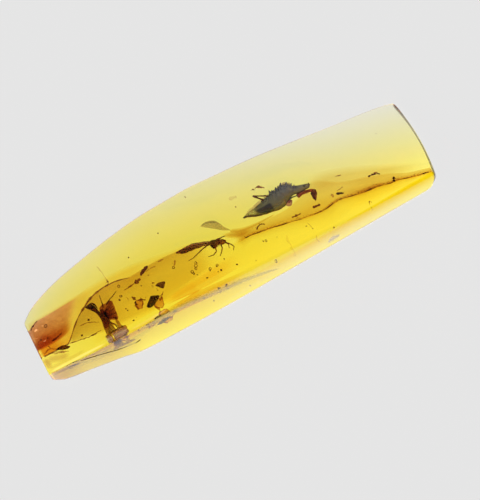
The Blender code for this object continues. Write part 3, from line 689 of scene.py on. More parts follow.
def stone_columns():
    """The places of the stone's points seen from above, as grids of x and y: closer at its rounded edges."""
    turns = np.linspace(0.0, pi / 2, ROUNDING_STEPS + 1)
    cut = HALF_LENGTH - END_ROUNDING * (1 - np.cos(turns))
    middle = np.linspace(-cut[-1], cut[-1], STONE_STATIONS)
    x = np.concatenate([-cut[:-1], middle, cut[:-1][::-1]])
    inset = end_inset(x)
    low, high = THICK_EDGE(x) + inset, PALE_EDGE(x) - inset
    facet = np.maximum(FACET_LINE(x), low + FACET_FROM_NOSE * THICK_NOSE)
    shoulder = np.maximum(SHOULDER_LINE(x), facet + SHOULDER_FROM_FACET)
    stops = [high, high - PALE_NOSE(x), shoulder, facet, low + THICK_NOSE, low]
    columns = [high]
    for i, count in enumerate(ACROSS_COUNTS):
        shares = np.arange(1, count + 1) / count
        if i == 0:
            shares = 1 - np.cos(shares * pi / 2)
        if i == len(ACROSS_COUNTS) - 1:
            shares = 1 - (1 - np.cos((1 - shares) * pi / 3)) / (1 - cos(pi / 3))
        columns += [stops[i] + (stops[i + 1] - stops[i]) * share for share in shares]
    y = np.array(columns).T
    return np.repeat(x[:, None], y.shape[1], axis=1), y


def build_clear_amber():
    """The polished stone: one fine closed skin, with its top and underside on the same columns."""
    x, y = stone_columns()
    top = np.stack(stone_surface(x, y, True), axis=2)
    under = np.stack(stone_surface(x, y, False), axis=2)
    rows, across = y.shape
    top_index = np.arange(rows * across).reshape(rows, across)
    under_index = np.copy(top_index)
    under_index[:, 1:-1] = rows * across + np.arange(rows * (across - 2)).reshape(rows, -1)
    faces = []
    for index in (top_index, under_index):
        corners = [index[:-1, :-1], index[:-1, 1:], index[1:, 1:], index[1:, :-1]]
        faces += np.stack(corners, axis=2).reshape(-1, 4).tolist()
    for end in (0, rows - 1):
        for j in range(across - 1):
            face = [top_index[end, j], under_index[end, j], under_index[end, j + 1], top_index[end, j + 1]]
            faces.append([int(v) for i, v in enumerate(face) if v not in face[:i]])
    shape = Shape()
    shape.add(np.vstack([top.reshape(-1, 3), under[:, 1:-1].reshape(-1, 3)]), faces)
    shape.to_piece("clear_amber", make_amber(), "amber", "amber_lower_half", "amber_upper_half")


# The beetle, lying on its side: X towards its head and Y towards its back, about its own middle

BEETLE_AT = (7.1, 0.3, 1.85)
BEETLE_LOW = smooth_line([
    (-4.25, -0.03), (-3.4, -0.3), (-2.7, -0.62), (-1.75, -0.92), (-0.8, -1.12), (0.0, -1.28),
    (0.7, -1.22), (1.4, -0.85), (2.1, -0.58), (2.7, -0.66), (4.0, -0.72), (4.35, -0.4)])
BEETLE_HIGH = smooth_line([
    (-4.25, 0.0), (-3.25, 0.3), (-2.2, 0.47), (-1.15, 0.75), (-0.35, 0.9), (0.6, 1.08), (1.6, 1.25),
    (2.1, 1.05), (2.6, 0.53), (3.4, 0.15), (4.1, -0.08), (4.35, -0.25)])
BEETLE_DEPTH = smooth_line([
    (-4.25, 0.03), (-3.0, 0.28), (-1.5, 0.55), (0.3, 0.66), (1.9, 0.55), (2.5, 0.42), (3.5, 0.38),
    (4.2, 0.26), (4.35, 0.1)])
WING_CASE_EDGE = smooth_line([
    (-4.25, -0.05), (-3.0, -0.25), (-1.5, -0.45), (0.0, -0.55), (1.3, -0.3), (4.35, -0.2)])
BEETLE_TAIL_X, BEETLE_HEAD_X = -4.25, 4.35
BEETLE_STATIONS, BEETLE_SIDES = 170, 72
BEETLE_TUFTS = 110
WING_CASE_END_X = 1.25
HEAD_FROM_X = 2.35
FURROW_SPACING = 0.17
PLATE_SPACING = 0.52
BEETLE_SPINES = [
    # The foot and the tip of each spine
    ((-0.1, 0.8), (0.0, 1.55)), ((0.7, 0.9), (0.82, 1.5)), ((1.25, 1.0), (1.6, 1.68)),
    ((1.95, 0.8), (2.18, 1.42)), ((0.35, 0.9), (0.42, 1.28)), ((-0.6, 0.75), (-0.62, 1.05)),
    ((1.1, 1.0), (1.08, 1.46)), ((2.3, 0.6), (2.6, 0.92)), ((0.05, 0.9), (0.3, 1.38))]


def groove(distance, width):
    return np.exp(-(distance / width) ** 2)


def add_beetle_body(shape):
    """The body: wing case with furrows, plated belly, fore body and head."""
    x = np.linspace(BEETLE_TAIL_X, BEETLE_HEAD_X, BEETLE_STATIONS)
    turns = np.arange(BEETLE_SIDES) * 2 * pi / BEETLE_SIDES
    low, high = BEETLE_LOW(x), BEETLE_HIGH(x)
    ragged = np.array([noise.noise(Vector((place * 5.0, 0.0, 3.0))) for place in x])
    tufted = np.array([noise.noise(Vector((place * 13.0, 4.0, 0.0))) for place in x])
    high = high + (0.4 * ragged + 0.22 * tufted) * soft_step(-1.8, -0.8, x) * soft_step(2.9, 2.3, x)
    across = ((low + high)[:, None] + (high - low)[:, None] * np.cos(turns)) / 2
    along = np.repeat(x[:, None], len(turns), axis=1)
    up = BEETLE_DEPTH(x)[:, None] * np.sin(turns) * beetle_relief(along, across)
    from_low = across - low[:, None]
    thin = (1 - soft_step(-2.9, -2.0, along)) * soft_step(0.1, 0.3, from_low)
    dark = soft_step(-2.9, -2.3, along + 0.9 * across) * soft_step(-0.4, -0.8, along)
    dark = dark * soft_step(0.2, 0.0, across)
    dark = np.maximum(dark, 0.75 * soft_step(0.25, 0.08, from_low))
    dark = np.maximum(dark, 0.45 * soft_step(2.2, 2.6, along) * soft_step(-0.1, 0.2, across - 0.02))
    shape.add_rings(np.stack([along, across, up], axis=2), 1 - 0.62 * thin, dark)


def beetle_relief(along, across):
    """The body's height as a share: lower in its seams, and furrowed on the wing case."""
    from_edge = across - WING_CASE_EDGE(along)
    behind = along < WING_CASE_END_X
    relief = 1 - 0.16 * groove(from_edge, 0.05) * (along < WING_CASE_END_X + 0.2)
    relief -= 0.1 * groove(along - WING_CASE_END_X + 0.2 * across, 0.06)
    relief -= 0.14 * groove(along - HEAD_FROM_X - 0.25 * across, 0.07)
    furrows = 0.03 * np.cos(2 * pi * from_edge / FURROW_SPACING)
    relief += np.where(behind & (from_edge > 0), furrows, 0.0)
    plates = (along + 0.35 * across + 3.0) % PLATE_SPACING - PLATE_SPACING / 2
    relief -= np.where((from_edge < 0) & behind, 0.1 * groove(plates, 0.05), 0.0)
    return relief


def add_beetle_spines(shape):
    """The spines and the ragged tufts along the back."""
    chance = Random(41)
    for start, end in BEETLE_SPINES:
        middle = [(a + b) / 2 for a, b in zip(start, end)]
        shape.add_limb([(*start, 0.05), (*middle, 0.08), (*end, 0.05)], [0.24, 0.14, 0.02], shade=0.2)
    for _ in range(BEETLE_TUFTS):
        x = chance.uniform(-1.5, 2.9)
        y = float(BEETLE_HIGH(np.float64(x))) - 0.05
        lean, length = chance.uniform(-0.5, 0.8), chance.uniform(0.12, 0.34)
        path = [(x, y, chance.uniform(-0.25, 0.25)), (x + lean * length * 0.5, y + length * 0.7, 0.1),
                (x + lean * length, y + length, 0.1)]
        shape.add_limb(path, [0.03, 0.02, 0.005], sides=5, steps=2, strength=0.8)


def build_beetle():
    shape = Shape()
    add_beetle_body(shape)
    add_beetle_spines(shape)
    add_leg(shape, [(2.55, -0.5, 0.1), (3.3, -0.62, 0.2), (4.1, -0.5, 0.18), (4.28, -0.12, 0.16)],
            [0.1, 0.08, 0.1], seed=5, shade=0.6)
    add_leg(shape, [(1.35, -0.8, 0.15), (1.9, -0.72, 0.2), (2.5, -0.85, 0.15)], [0.12, 0.09], seed=7,
            shade=0.5)
    shape.add_ball((3.72, -0.12, 0.26), (0.2, 0.17, 0.16), sides=20, shade=0.9)
    shape.move_to(BEETLE_AT).to_piece("beetle_body", make_body(
        "beetle_shell", (0.21, 0.22, 0.6), (0.022, 0.033, 0.38), contrast=0.35, blotches=1300.0,
        roughness=0.35), "beetle_black", "beetle")
    build_beetle_red_legs()
    build_beetle_wing()
    build_beetle_stump()


def build_beetle_red_legs():
    """The bent hind leg, the front leg and foot, and the red line along the belly."""
    shape = Shape()
    add_leg(shape, [(-0.1, 0.75, 0.12), (-1.88, 1.84, 0.15)], [0.085], seed=2, shade=0.6)
    add_leg(shape, [(-1.9, 1.86, 0.15), (-1.4, 1.16, 0.15), (-0.95, 0.5, 0.12)], [0.13, 0.11], seed=3,
            shade=0.8)
    add_leg(shape, [(2.7, -0.3, -0.06), (2.55, -1.0, 0.03)], [0.22], seed=11, shade=0.3)
    shape.add_limb([(2.45, -1.15, 0.03), (2.95, -0.9, 0.08), (3.5, -0.95, 0.1), (4.05, -1.1, 0.1),
                    (4.35, -1.35, 0.06)], [0.16, 0.27, 0.22, 0.2, 0.18], shade=0.1)
    x = np.linspace(-4.15, 0.9, 14)
    shape.add_limb(np.stack([x, BEETLE_LOW(x), np.full_like(x, 0.1)], 1),
                   np.interp(x, (-4.15, -2.5, 0.9), (0.05, 0.08, 0.05)), shade=0.7)
    shape.add_limb([(4.35, -1.15, 0.06), (4.2, -1.6, 0.05), (4.02, -2.1, 0.03), (3.88, -2.62, 0.0)],
                   [0.22, 0.36, 0.26, 0.06], shade=0.85)
    shape.move_to(BEETLE_AT).roughen(3.0, 0.05).to_piece("beetle_red_legs", make_body(
        "red_leg", (0.3, 0.065, 0.26), (0.1, 0.02, 0.09), contrast=0.3, blotches=2200.0, roughness=0.35,
        cover=0.95), "spider_maroon", "beetle")


def build_beetle_wing():
    """The two thin patches of a wing that stand out from the back."""
    shape = Shape()
    for outline, seed, strength, rim_strength in (
            ([(-4.0, 0.12), (-3.2, 0.52), (-2.2, 0.8), (-1.2, 1.0), (-0.3, 1.05), (-0.3, 0.6), (-1.2, 0.45),
              (-2.2, 0.25), (-3.2, 0.08)], 9.0, 0.5, 0.1),
            ([(0.9, 1.1), (1.3, 1.5), (1.8, 1.55), (2.2, 1.35), (2.6, 0.95), (2.2, 0.7), (1.4, 0.9)],
             19.0, 0.7, 0.2)):
        shape.add_flake(outline, BEETLE_AT, 0.1, rough=0.05, seed=seed, strength=strength,
                        rim_strength=rim_strength)
    shape.roughen(5.0, 0.08)
    shape.to_piece("beetle_wing_veil", make_film("wing_veil_tint", (0.42, 0.3, 0.55), 1600.0, 0.5),
                   "beetle_black", "beetle")


def build_beetle_stump():
    shape = Shape()
    shape.add_ball((1.2, -1.2, 0.03), (0.46, 0.4, 0.25), 20.0, 24, 0.5, 3.0, strength=1.0)
    shape.add_ball((1.35, -1.0, 0.1), (0.2, 0.22, 0.15), 0.0, 16, 0.5, 7.0, strength=0.9)
    shape.add_limb([(2.9, -0.9, 0.0), (3.3, -1.05, 0.0), (3.75, -1.2, 0.0)], [0.1, 0.2, 0.12], strength=0.4)
    shape.move_to(BEETLE_AT).to_piece("beetle_leg_stump", make_film(
        "stump_tint", (0.34, 0.15, 0.4), 2200.0, 0.4, deep=(0.2, 0.08, 0.2)), "spider_maroon", "beetle")


# The spider-like insect

SPIDER_AT = (-1.1, -0.8, 2.2)
SPIDER_HAIRS = 70
SPIDER_LEGS = [
    ([(-0.55, 0.25, 0.1), (-1.2, 0.33, 0.35), (-1.83, 0.25, 0.4), (-2.65, 0.0, 0.2), (-3.28, -0.18, 0.0),
      (-3.9, -0.19, -0.1)], [0.09, 0.085, 0.07, 0.055, 0.035]),
    ([(-0.33, -0.1, 0.0), (-0.55, -0.77, 0.25), (-1.06, -0.97, 0.1), (-1.62, -0.88, -0.1)],
     [0.08, 0.065, 0.045]),
    ([(0.28, -0.2, 0.0), (0.22, -0.75, 0.2), (-0.1, -1.15, 0.1), (-0.44, -1.42, -0.1)],
     [0.08, 0.065, 0.045]),
    ([(0.7, -0.25, 0.0), (1.0, -0.55, 0.25), (1.32, -0.95, 0.25), (1.42, -1.25, 0.1), (1.18, -1.62, -0.1)],
     [0.08, 0.07, 0.055, 0.04]),
    ([(0.65, -0.3, -0.1), (1.02, -0.8, -0.05), (0.86, -1.18, -0.2)], [0.06, 0.045]),
    ([(0.2, 0.1, 0.1), (0.55, 0.33, 0.1), (1.14, 0.26, 0.1)], [0.08, 0.06]),
]


def build_spider():
    shape = Shape()
    shape.add_ball((-0.26, 0.08, 0.0), (0.62, 0.42, 0.4), -14.0, 28, 0.25, 1.0, shade=0.6)
    shape.add_ball((-0.5, -0.22, 0.0), (0.26, 0.24, 0.25), 0.0, 20, 0.3, 2.0, shade=0.6)
    shape.add_ball((0.5, -0.18, 0.0), (0.46, 0.32, 0.32), -22.0, 24, 0.25, 4.0, shade=0.15)
    shape.add_limb([(0.0, 0.3, 0.2), (0.3, 0.36, 0.2), (0.62, 0.24, 0.15)], [0.08, 0.1, 0.04], shade=0.7)
    for i, (joints, widths) in enumerate(SPIDER_LEGS):
        add_leg(shape, joints, widths, seed=60 + i, shade=0.3)
    chance = Random(17)
    for _ in range(SPIDER_HAIRS):
        turn = chance.uniform(0, 2 * pi)
        root = (-0.2 + 0.5 * cos(turn), 0.05 + 0.36 * sin(turn), chance.uniform(-0.1, 0.25))
        tip = (-0.2 + 0.68 * cos(turn), 0.05 + 0.52 * sin(turn), root[2] + 0.05)
        shape.add_limb([root, tip], [0.02, 0.004], sides=4, steps=2, strength=0.8, shade=0.4)
    shape.move_to(SPIDER_AT).to_piece("spider_body", make_body(
        "spider_shell", (0.21, 0.05, 0.16), (0.05, 0.015, 0.09), contrast=0.4, blotches=2600.0,
        cover=0.97), "spider_maroon", "spider")


# The second insect, with its stout arm, its fan-shaped abdomen and its bundle of legs

SECOND_AT = (-16.2, -1.6, 2.4)
FAN_RIBS = 8


SECOND_LEGS = [
    # The joints of the single legs about the insect's middle, their half widths and the shade
    ([(0.2, -0.4, 0.0), (0.5, -0.78, 0.1), (0.74, -1.05, 0.1), (0.82, -1.38, 0.0)], [0.1, 0.08, 0.07], 0.3),
    ([(0.5, 1.0, 0.05), (0.56, 1.6, 0.1), (0.72, 2.32, 0.1)], [0.07, 0.05], 0.4),
    ([(0.9, 1.05, 0.05), (1.6, 1.38, 0.1), (2.63, 1.72, 0.1)], [0.07, 0.05], 0.4)]


def build_insect_fan():
    """The fan-shaped abdomen with its ribs."""
    shape = Shape()
    outline = [(-0.3, 0.2), (-0.12, 0.8), (0.1, 1.2), (0.45, 1.32), (0.95, 1.22), (1.35, 1.3), (1.62, 1.12),
               (1.66, 0.6), (1.6, 0.1), (1.36, -0.66), (1.0, -0.62), (0.55, -0.45), (-0.1, -0.5)]
    shape.add_flake(outline, (0.0, 0.0, 0.0), 0.4, 0.03, 0.08, 2.0, rim_strength=0.75, shade=0.35)
    for i in range(FAN_RIBS):
        rib = [(0.05, 0.35 - 0.06 * i, 0.2), (0.75, 0.75 - 0.15 * i, 0.26), (1.5, 1.1 - 0.24 * i, 0.16)]
        shape.add_limb(rib, [0.09, 0.1, 0.04], [0.03, 0.05, 0.03], strength=0.6, shade=0.2 + 0.6 * (i % 2))
    shape.add_limb([(0.1, 0.9, 0.0), (0.2, 0.3, 0.0), (0.15, -0.45, 0.0)], [0.2, 0.26, 0.2], strength=0.8,
                   shade=1.0)
    shape.move_to(SECOND_AT).roughen(2.5, 0.09, 5.0).to_piece("insect_fan", make_film(
        "fan_tint", (0.38, 0.12, 0.1), 1800.0, 0.4, deep=(0.12, 0.03, 0.02)), "insect_brown",
        "second_insect")


def build_second_insect():
    build_insect_fan()
    shape = Shape()
    shape.add_ball((0.0, 0.0, 0.0), (0.42, 0.62, 0.42), 8.0, 28, 0.3, 5.0, shade=0.65)
    shape.add_limb([(-0.05, -0.2, 0.0), (-0.28, 0.5, 0.05), (-0.45, 1.1, 0.08), (-0.72, 1.6, 0.1),
                    (-0.95, 2.02, 0.1)], [0.3, 0.2, 0.2, 0.32, 0.22], [0.3, 0.25, 0.22, 0.22, 0.15], 14,
                   shade=0.9)
    shape.add_limb([(-0.6, 1.75, 0.1), (-0.95, 1.86, 0.1), (-1.36, 1.98, 0.12)], [0.34, 0.3, 0.08], shade=0.8)
    shape.add_limb([(-0.5, 2.05, 0.15), (-0.3, 1.75, 0.12), (-0.2, 1.25, 0.1)], [0.08, 0.1, 0.05], shade=0.8)
    for i, (top_x, foot_x) in enumerate(((-0.28, -0.66), (-0.12, -0.42), (0.04, -0.2), (0.2, 0.06))):
        joints = [(top_x, -0.2, 0.08), (top_x - 0.16, -0.72, 0.12),
                  ((top_x + foot_x) / 2 - 0.1, -1.05, 0.08), (foot_x, -1.4, 0.0)]
        add_leg(shape, joints, [0.13, 0.055, 0.045], seed=80 + i, hairs=3, shade=0.2)
    for i, (joints, widths, shade) in enumerate(SECOND_LEGS):
        add_leg(shape, joints, widths, seed=90 + i, shade=shade)
    shape.move_to(SECOND_AT).roughen(2.5, 0.06, 3.0).to_piece("second_insect_body", make_body(
        "insect_shell", (0.24, 0.05, 0.08), (0.06, 0.015, 0.05), contrast=0.4, blotches=2400.0,
        cover=0.96), "insect_brown", "second_insect")


# Bark, flakes and shards

BARK_SPLINTERS = 34
BARK_HEIGHT = 2.2
BARK_MIDDLE = smooth_line([
    (-5.65, 1.22), (-4.7, 0.96), (-3.6, 0.86), (-2.65, 0.6), (-1.75, 0.3), (-1.0, 0.12)])
BARK_HALF_WIDTH = smooth_line([
    (-5.65, 0.05), (-4.9, 0.26), (-3.6, 0.33), (-2.65, 0.27), (-1.75, 0.2), (-1.0, 0.04)])


def build_bark():
    """A strip of splinters lying side by side, one end of it thin enough to see through."""
    shape = Shape()
    chance = Random(23)
    for i in range(BARK_SPLINTERS):
        y = chance.uniform(-0.9, 0.9)
        start, end = -5.62 + 1.0 * chance.random()**2, -1.05 - 1.3 * chance.random()
        x = np.linspace(start, end, 6)
        waves = 0.14 * np.sin(7 * y + x)
        path = np.stack([x, BARK_MIDDLE(x) + y * BARK_HALF_WIDTH(x), BARK_HEIGHT + waves], 1)
        see_through = start < -5.4 and i % 2
        shape.add_limb(path, [0.03, 0.07, 0.09, 0.09, 0.07, 0.02], [0.02, 0.08, 0.1, 0.1, 0.08, 0.02],
                       sides=7, steps=4, strength=0.6 if see_through else 1.0, shade=chance.uniform(0, 0.6))
    shape.settle().roughen(4.0, 0.07).to_piece("bark_splinters", make_body(
        "bark", (0.4, 0.25, 1.0), (0.12, 0.075, 0.45), blotches=1500.0, stretch=(0.25, 1, 1),
        roughness=0.7, cover=0.93), "bark_brown", "bark_strip")


def build_teardrop():
    shape = Shape()
    shape.add_flake([(-1.38, 0.92), (-1.1, 1.06), (-0.7, 1.1), (-0.2, 0.98), (0.27, 0.7), (0.55, 0.3),
                     (0.75, -0.2), (1.0, -0.72), (1.33, -1.3), (0.95, -1.12), (0.45, -0.78), (-0.17, -0.2),
                     (-0.7, 0.3), (-1.1, 0.66)], (-0.4, 1.0, 2.05), 0.16, 0.02, 0.05, 4.0, strength=0.75,
                    rim_strength=0.5)
    shape.add_limb([(-1.65, 2.0, 2.1), (-1.0, 2.02, 2.12), (-0.3, 1.75, 2.12), (0.1, 1.3, 2.1),
                    (0.4, 0.72, 2.08)], [0.02, 0.12, 0.14, 0.1, 0.02], [0.02, 0.04, 0.04, 0.04, 0.02],
                   shade=0.2, strength=0.5)
    shape.to_piece("teardrop", make_body(
        "pale_flake", (0.52, 0.33, 0.6), (0.15, 0.085, 0.16), contrast=0.6, blotches=1100.0,
        stretch=(0.5, 1, 1), roughness=0.5, cover=0.5), "flake_grey", "teardrop_flake")


GREY_FLAKE_AT = (-16.0, -3.6, 2.1)
GREY_FLAKE_PARTS = [
    # The outline of each part about the flake's middle, and how much higher than the middle it lies
    ([(-1.35, 0.561), (-0.75, 0.528), (-0.6, 0.033), (-0.72, -0.495), (-1.15, -0.297)], 0.0),
    ([(-0.62, 0.561), (-0.1, 0.561), (-0.22, 0.033), (-0.45, -0.561), (-0.7, -0.495), (-0.5, 0.0)], 0.02),
    ([(-0.12, 0.561), (0.6, 0.495), (1.32, 0.528), (1.27, 0.0), (0.85, -0.528), (0.25, -0.429),
      (-0.3, -0.561), (-0.12, 0.0825)], -0.02)]


def build_grey_flake():
    shape = Shape()
    for outline, lift in GREY_FLAKE_PARTS:
        shape.add_flake(outline, (0.0, 0.0, lift), 0.2, 0.0, 0.06, 7.0 + lift, strength=0.95,
                        rim_strength=0.7)
    shape.add_limb([(-1.3, 0.56, 0.02), (0.0, 0.62, 0.05), (1.3, 0.54, 0.02)], [0.04, 0.1, 0.04], shade=0.8)
    shape.move_to(GREY_FLAKE_AT).settle().to_piece("grey_bark_flake", make_body(
        "grey_flake", (0.6, 0.36, 0.3), (0.18, 0.1, 0.08), contrast=0.6, blotches=1900.0, roughness=0.55,
        cover=0.72), "flake_grey", "grey_flake")


def build_kite():
    shape = Shape()
    corners = np.array([(0.02, 0.5), (0.9, 0.07), (-0.37, -0.46), (-0.92, -0.15)])
    rim = smooth_path([*corners, corners[0]], 3)[:-1]
    rings = [[(*(point * share), 0.35 * up) for point in rim]
             for share, up in ((0.5, -1), (0.92, -0.5), (1.0, 0.0), (0.85, 0.55), (0.35, 1))]
    shape.add_rings(rings, 1.0, np.array((0.5, 0.8, 0.9, 0.6, 0.0))[:, None])
    shape.move_to((-10.5, -2.6, 2.2)).to_piece("kite_shard", make_body(
        "dark_shard", (0.05, 0.03, 0.012), (0.008, 0.006, 0.006), contrast=0.7, blotches=2000.0,
        roughness=0.2, cover=0.97), "beetle_black", "black_shard")


def build_wedge():
    shape = Shape()
    shape.add_flake([(-0.6, 0.25), (-0.3, 0.36), (0.1, 0.34), (0.58, 0.13), (0.3, -0.18), (0.02, -0.36),
                     (-0.3, -0.05)], (-8.9, -1.75, 2.1), 0.3, 0.0, 0.12, 8.0, shade=0.4)
    add_grains(shape, 5, 8, (-9.2, -1.75, 2.1), (0.25, 0.2, 0.08), (0.03, 0.08), shade=0.5)
    shape.to_piece("wedge_of_bark", make_film(
        "chip_tint", (0.13, 0.06, 0.1), 1800.0, 0.35, deep=(0.05, 0.02, 0.03)), "bark_brown", "wedge_chip")


def build_sliver():
    shape = Shape()
    shape.add_limb([(-22.7, -1.9, 2.0), (-22.3, -1.98, 2.0), (-21.85, -2.08, 2.02), (-21.45, -2.22, 2.0),
                    (-21.16, -2.3, 2.0)], [0.05, 0.17, 0.23, 0.16, 0.03], [0.02, 0.09, 0.1, 0.08, 0.02],
                   sides=14, shade=0.3)
    shape.to_piece("dark_sliver", make_body(
        "sliver_bark", (0.16, 0.03, 0.03), (0.03, 0.008, 0.01), cover=0.97), "bark_brown", "leaf_sliver")


def build_brown_flakes():
    """The two flakes of older amber-brown resin, each with its dark rim."""
    brown = make_film("brown_flake", (0.5, 0.16, 0.05), 1500.0, 0.4, deep=(0.09, 0.025, 0.02))
    for name, node, place, outline, seed in (
            ("left_flake", "brown_flake_left", (-11.95, -2.25, 2.2),
             [(0.45, 0.1), (0.25, 0.42), (-0.25, 0.42), (-0.5, 0.08), (-0.4, -0.34), (0.05, -0.42)], 11.0),
            ("right_flake", "brown_flake_right", (-9.95, -3.38, 2.2),
             [(0.5, 0.72), (0.05, 0.56), (-0.45, 0.62), (-0.7, 0.25), (-0.35, -0.16), (0.3, -0.05)], 12.0)):
        shape = Shape()
        shape.add_flake(outline, (0.0, 0.0, 0.0), 0.2, 0.0, 0.05, seed, strength=0.5)
        rim = [(x, y, 0.0) for x, y in [*outline, outline[0]]]
        for i in range(len(outline)):
            wide = (0.17, 0.02, 0.08)[i % 3]
            shape.add_limb(rim[i:i + 2], [wide * 0.4, wide], sides=8, shade=0.7, strength=0.6)
        shape.move_to(place).roughen(4.0, 0.1, seed).to_piece(name, brown, "flake_brown", node)


def build_twig():
    shape = Shape()
    shape.add_limb([(3.62, -1.72, 2.0), (3.82, -1.52, 2.05), (4.17, -1.42, 2.05), (4.47, -1.5, 2.0),
                    (4.67, -1.7, 2.0)], [0.1, 0.08, 0.07, 0.07, 0.04], shade=0.3)
    add_grains(shape, 31, 14, (4.1, -1.5, 2.0), (0.3, 0.08, 0.04), (0.02, 0.06), shade=0.4)
    shape.roughen(5.0, 0.05).to_piece("curved_twig", make_film(
        "twig_tint", (0.22, 0.08, 0.08), 3000.0, 0.5, deep=(0.07, 0.03, 0.03)), "bark_brown", "twig")


# The lump of older red resin, between a low and a high line as seen from above

LUMP_START_X, LUMP_END_X = -24.75, -17.5
LUMP_STATIONS, LUMP_SIDES = 90, 64
LUMP_END_ROUNDING = 0.6
LUMP_LOW = smooth_line([
    (-24.75, -0.75), (-23.0, -0.85), (-21.0, -0.75), (-19.5, 0.3), (-18.4, 1.6), (-17.5, 2.3)])
LUMP_HIGH = smooth_line([
    (-24.75, 1.85), (-23.9, 2.3), (-23.3, 2.5), (-20.0, 2.5), (-18.4, 2.45), (-17.5, 2.4)])
LUMP_HEIGHT = 2.3
LUMP_HALF_DEPTH = 0.85


def build_red_lump():
    x = np.linspace(LUMP_START_X, LUMP_END_X, LUMP_STATIONS)
    turns = np.arange(LUMP_SIDES) * 2 * pi / LUMP_SIDES
    low, high = LUMP_LOW(x), LUMP_HIGH(x)
    place = (1 + np.cos(turns)) / 2
    across = low[:, None] + (high - low)[:, None] * place
    along = np.repeat(x[:, None], len(turns), axis=1)
    from_end = np.minimum(x - LUMP_START_X, LUMP_END_X - x) + 0.05
    swell = np.sqrt(np.clip(from_end / LUMP_END_ROUNDING, 0.0, 1.0))
    up = LUMP_HEIGHT + LUMP_HALF_DEPTH * swell[:, None] * np.sin(turns)
    slant = along - 0.9 * (across - 0.8)
    strength = soft_step(-19.0, -20.8, slant) * soft_step(0.0, 0.12, place)
    strength = strength * soft_step(1.0, 0.94, place) * (0.8 + 0.2 * soft_step(-21.0, -24.0, along))
    shade = 0.95 * soft_step(0.6, 0.1, place) * soft_step(-19.0, -21.5, along)
    shape = Shape()
    shape.add_rings(np.stack([along, across, up], axis=2), strength, shade)
    shape.settle().to_piece("red_resin", make_red_resin(), "resin_red", "red_resin_lump")


def make_red_resin():
    """Cloudy red resin: it tints the light that goes through it, more deeply along its lower edge."""
    material, tree, shader = principled("red_resin", Roughness=0.2, IOR=1.01, Transmission_Weight=1.0)
    mottle = place_group(tree, MOTTLE, Light=(0.88, 0.52, 0.8, 1), Dark=(0.42, 0.1, 0.03, 1), Contrast=0.5,
                         Blotches_per_Metre=600.0, Grain_per_Metre=2500.0, Stretch=(0.6, 1, 1),
                         Shade=attribute(tree, "shade"))
    tree.links.new(colour_power(tree, mottle, attribute(tree, "strength")), shader.inputs["Base Color"])
    return material


# The flow seam and the older flows: films that tint the light, and the dust that lies on them

SEAM_START_X, SEAM_END_X = 0.7, 24.4
DUST_DEPTH = 0.8
DUST_GRAINS = 420
TAN_AND_SHADE_DEPTH = 0.16
SEAM = smooth_line([
    (0.67, -1.34), (2.39, -1.29), (3.93, -1.55), (5.59, -1.86), (9.59, -2.75), (11.42, -3.0),
    (13.25, -2.86), (14.74, -3.12), (16.34, -3.47), (17.94, -3.69), (19.43, -4.09), (20.46, -4.26),
    (22.06, -4.78), (24.46, -5.35)])
BAND_TOP = smooth_line([
    (0.67, 0.45), (1.13, 0.31), (2.04, -0.14), (3.64, -0.46), (5.5, -0.62), (7.5, -0.7), (9.5, -0.3),
    (11.65, 0.68), (14.74, -1.08), (17.94, -2.23), (20.0, -3.06), (22.06, -4.09), (24.46, -4.83)])
ARCH = smooth_line([
    (-24.6, -1.57), (-21.41, -1.65), (-20.84, -1.23), (-19.81, -0.31), (-18.78, 0.49), (-17.75, 1.06),
    (-16.72, 1.57), (-15.69, 1.82), (-14.55, 1.93), (-13.52, 1.88), (-12.49, 1.68), (-11.46, 1.4),
    (-8.25, 1.46), (-5.62, 1.25), (-3.68, 1.0), (-1.85, 0.37), (0.9, 0.1)])
OLD_FLOW_TOP = smooth_line([
    (-19.5, 1.6), (-18.3, 2.5), (-16.5, 2.9), (-14.0, 2.95), (-11.0, 2.75), (-8.5, 2.3), (-6.0, 1.8),
    (-4.0, 1.5), (-1.9, 0.6), (0.9, 0.2)])


def film_between(low, high, low_depth, high_depth, profile, stations):
    """A film from one line to another, as seen from above, at its depths below the top, with its strength
    across it: places from 0 at the low line to 1 at the high line, each with a strength."""
    places = np.array([place for place, _ in profile])[None, :]
    y = low(stations)[:, None] + (high(stations) - low(stations))[:, None] * places
    x = np.repeat(stations[:, None], y.shape[1], axis=1)
    top = stone_surface(x, y, True)[2]
    depth = np.minimum(low_depth + (high_depth - low_depth) * np.clip(places, 0.0, 1.0), 0.8 * top)
    strength = np.repeat(np.array([level for _, level in profile])[None, :], len(stations), axis=0)
    ends = soft_step(0.0, 0.04, (stations - stations[0]) / (stations[-1] - stations[0]))
    return np.stack([x, y, top - depth], axis=2), strength * ends[:, None]


def build_seam():
    """The seam's orange band with its soft stripes, the glow below it and the dark line itself."""
    build_seam_film()
    build_glow_film()
    build_seam_line()


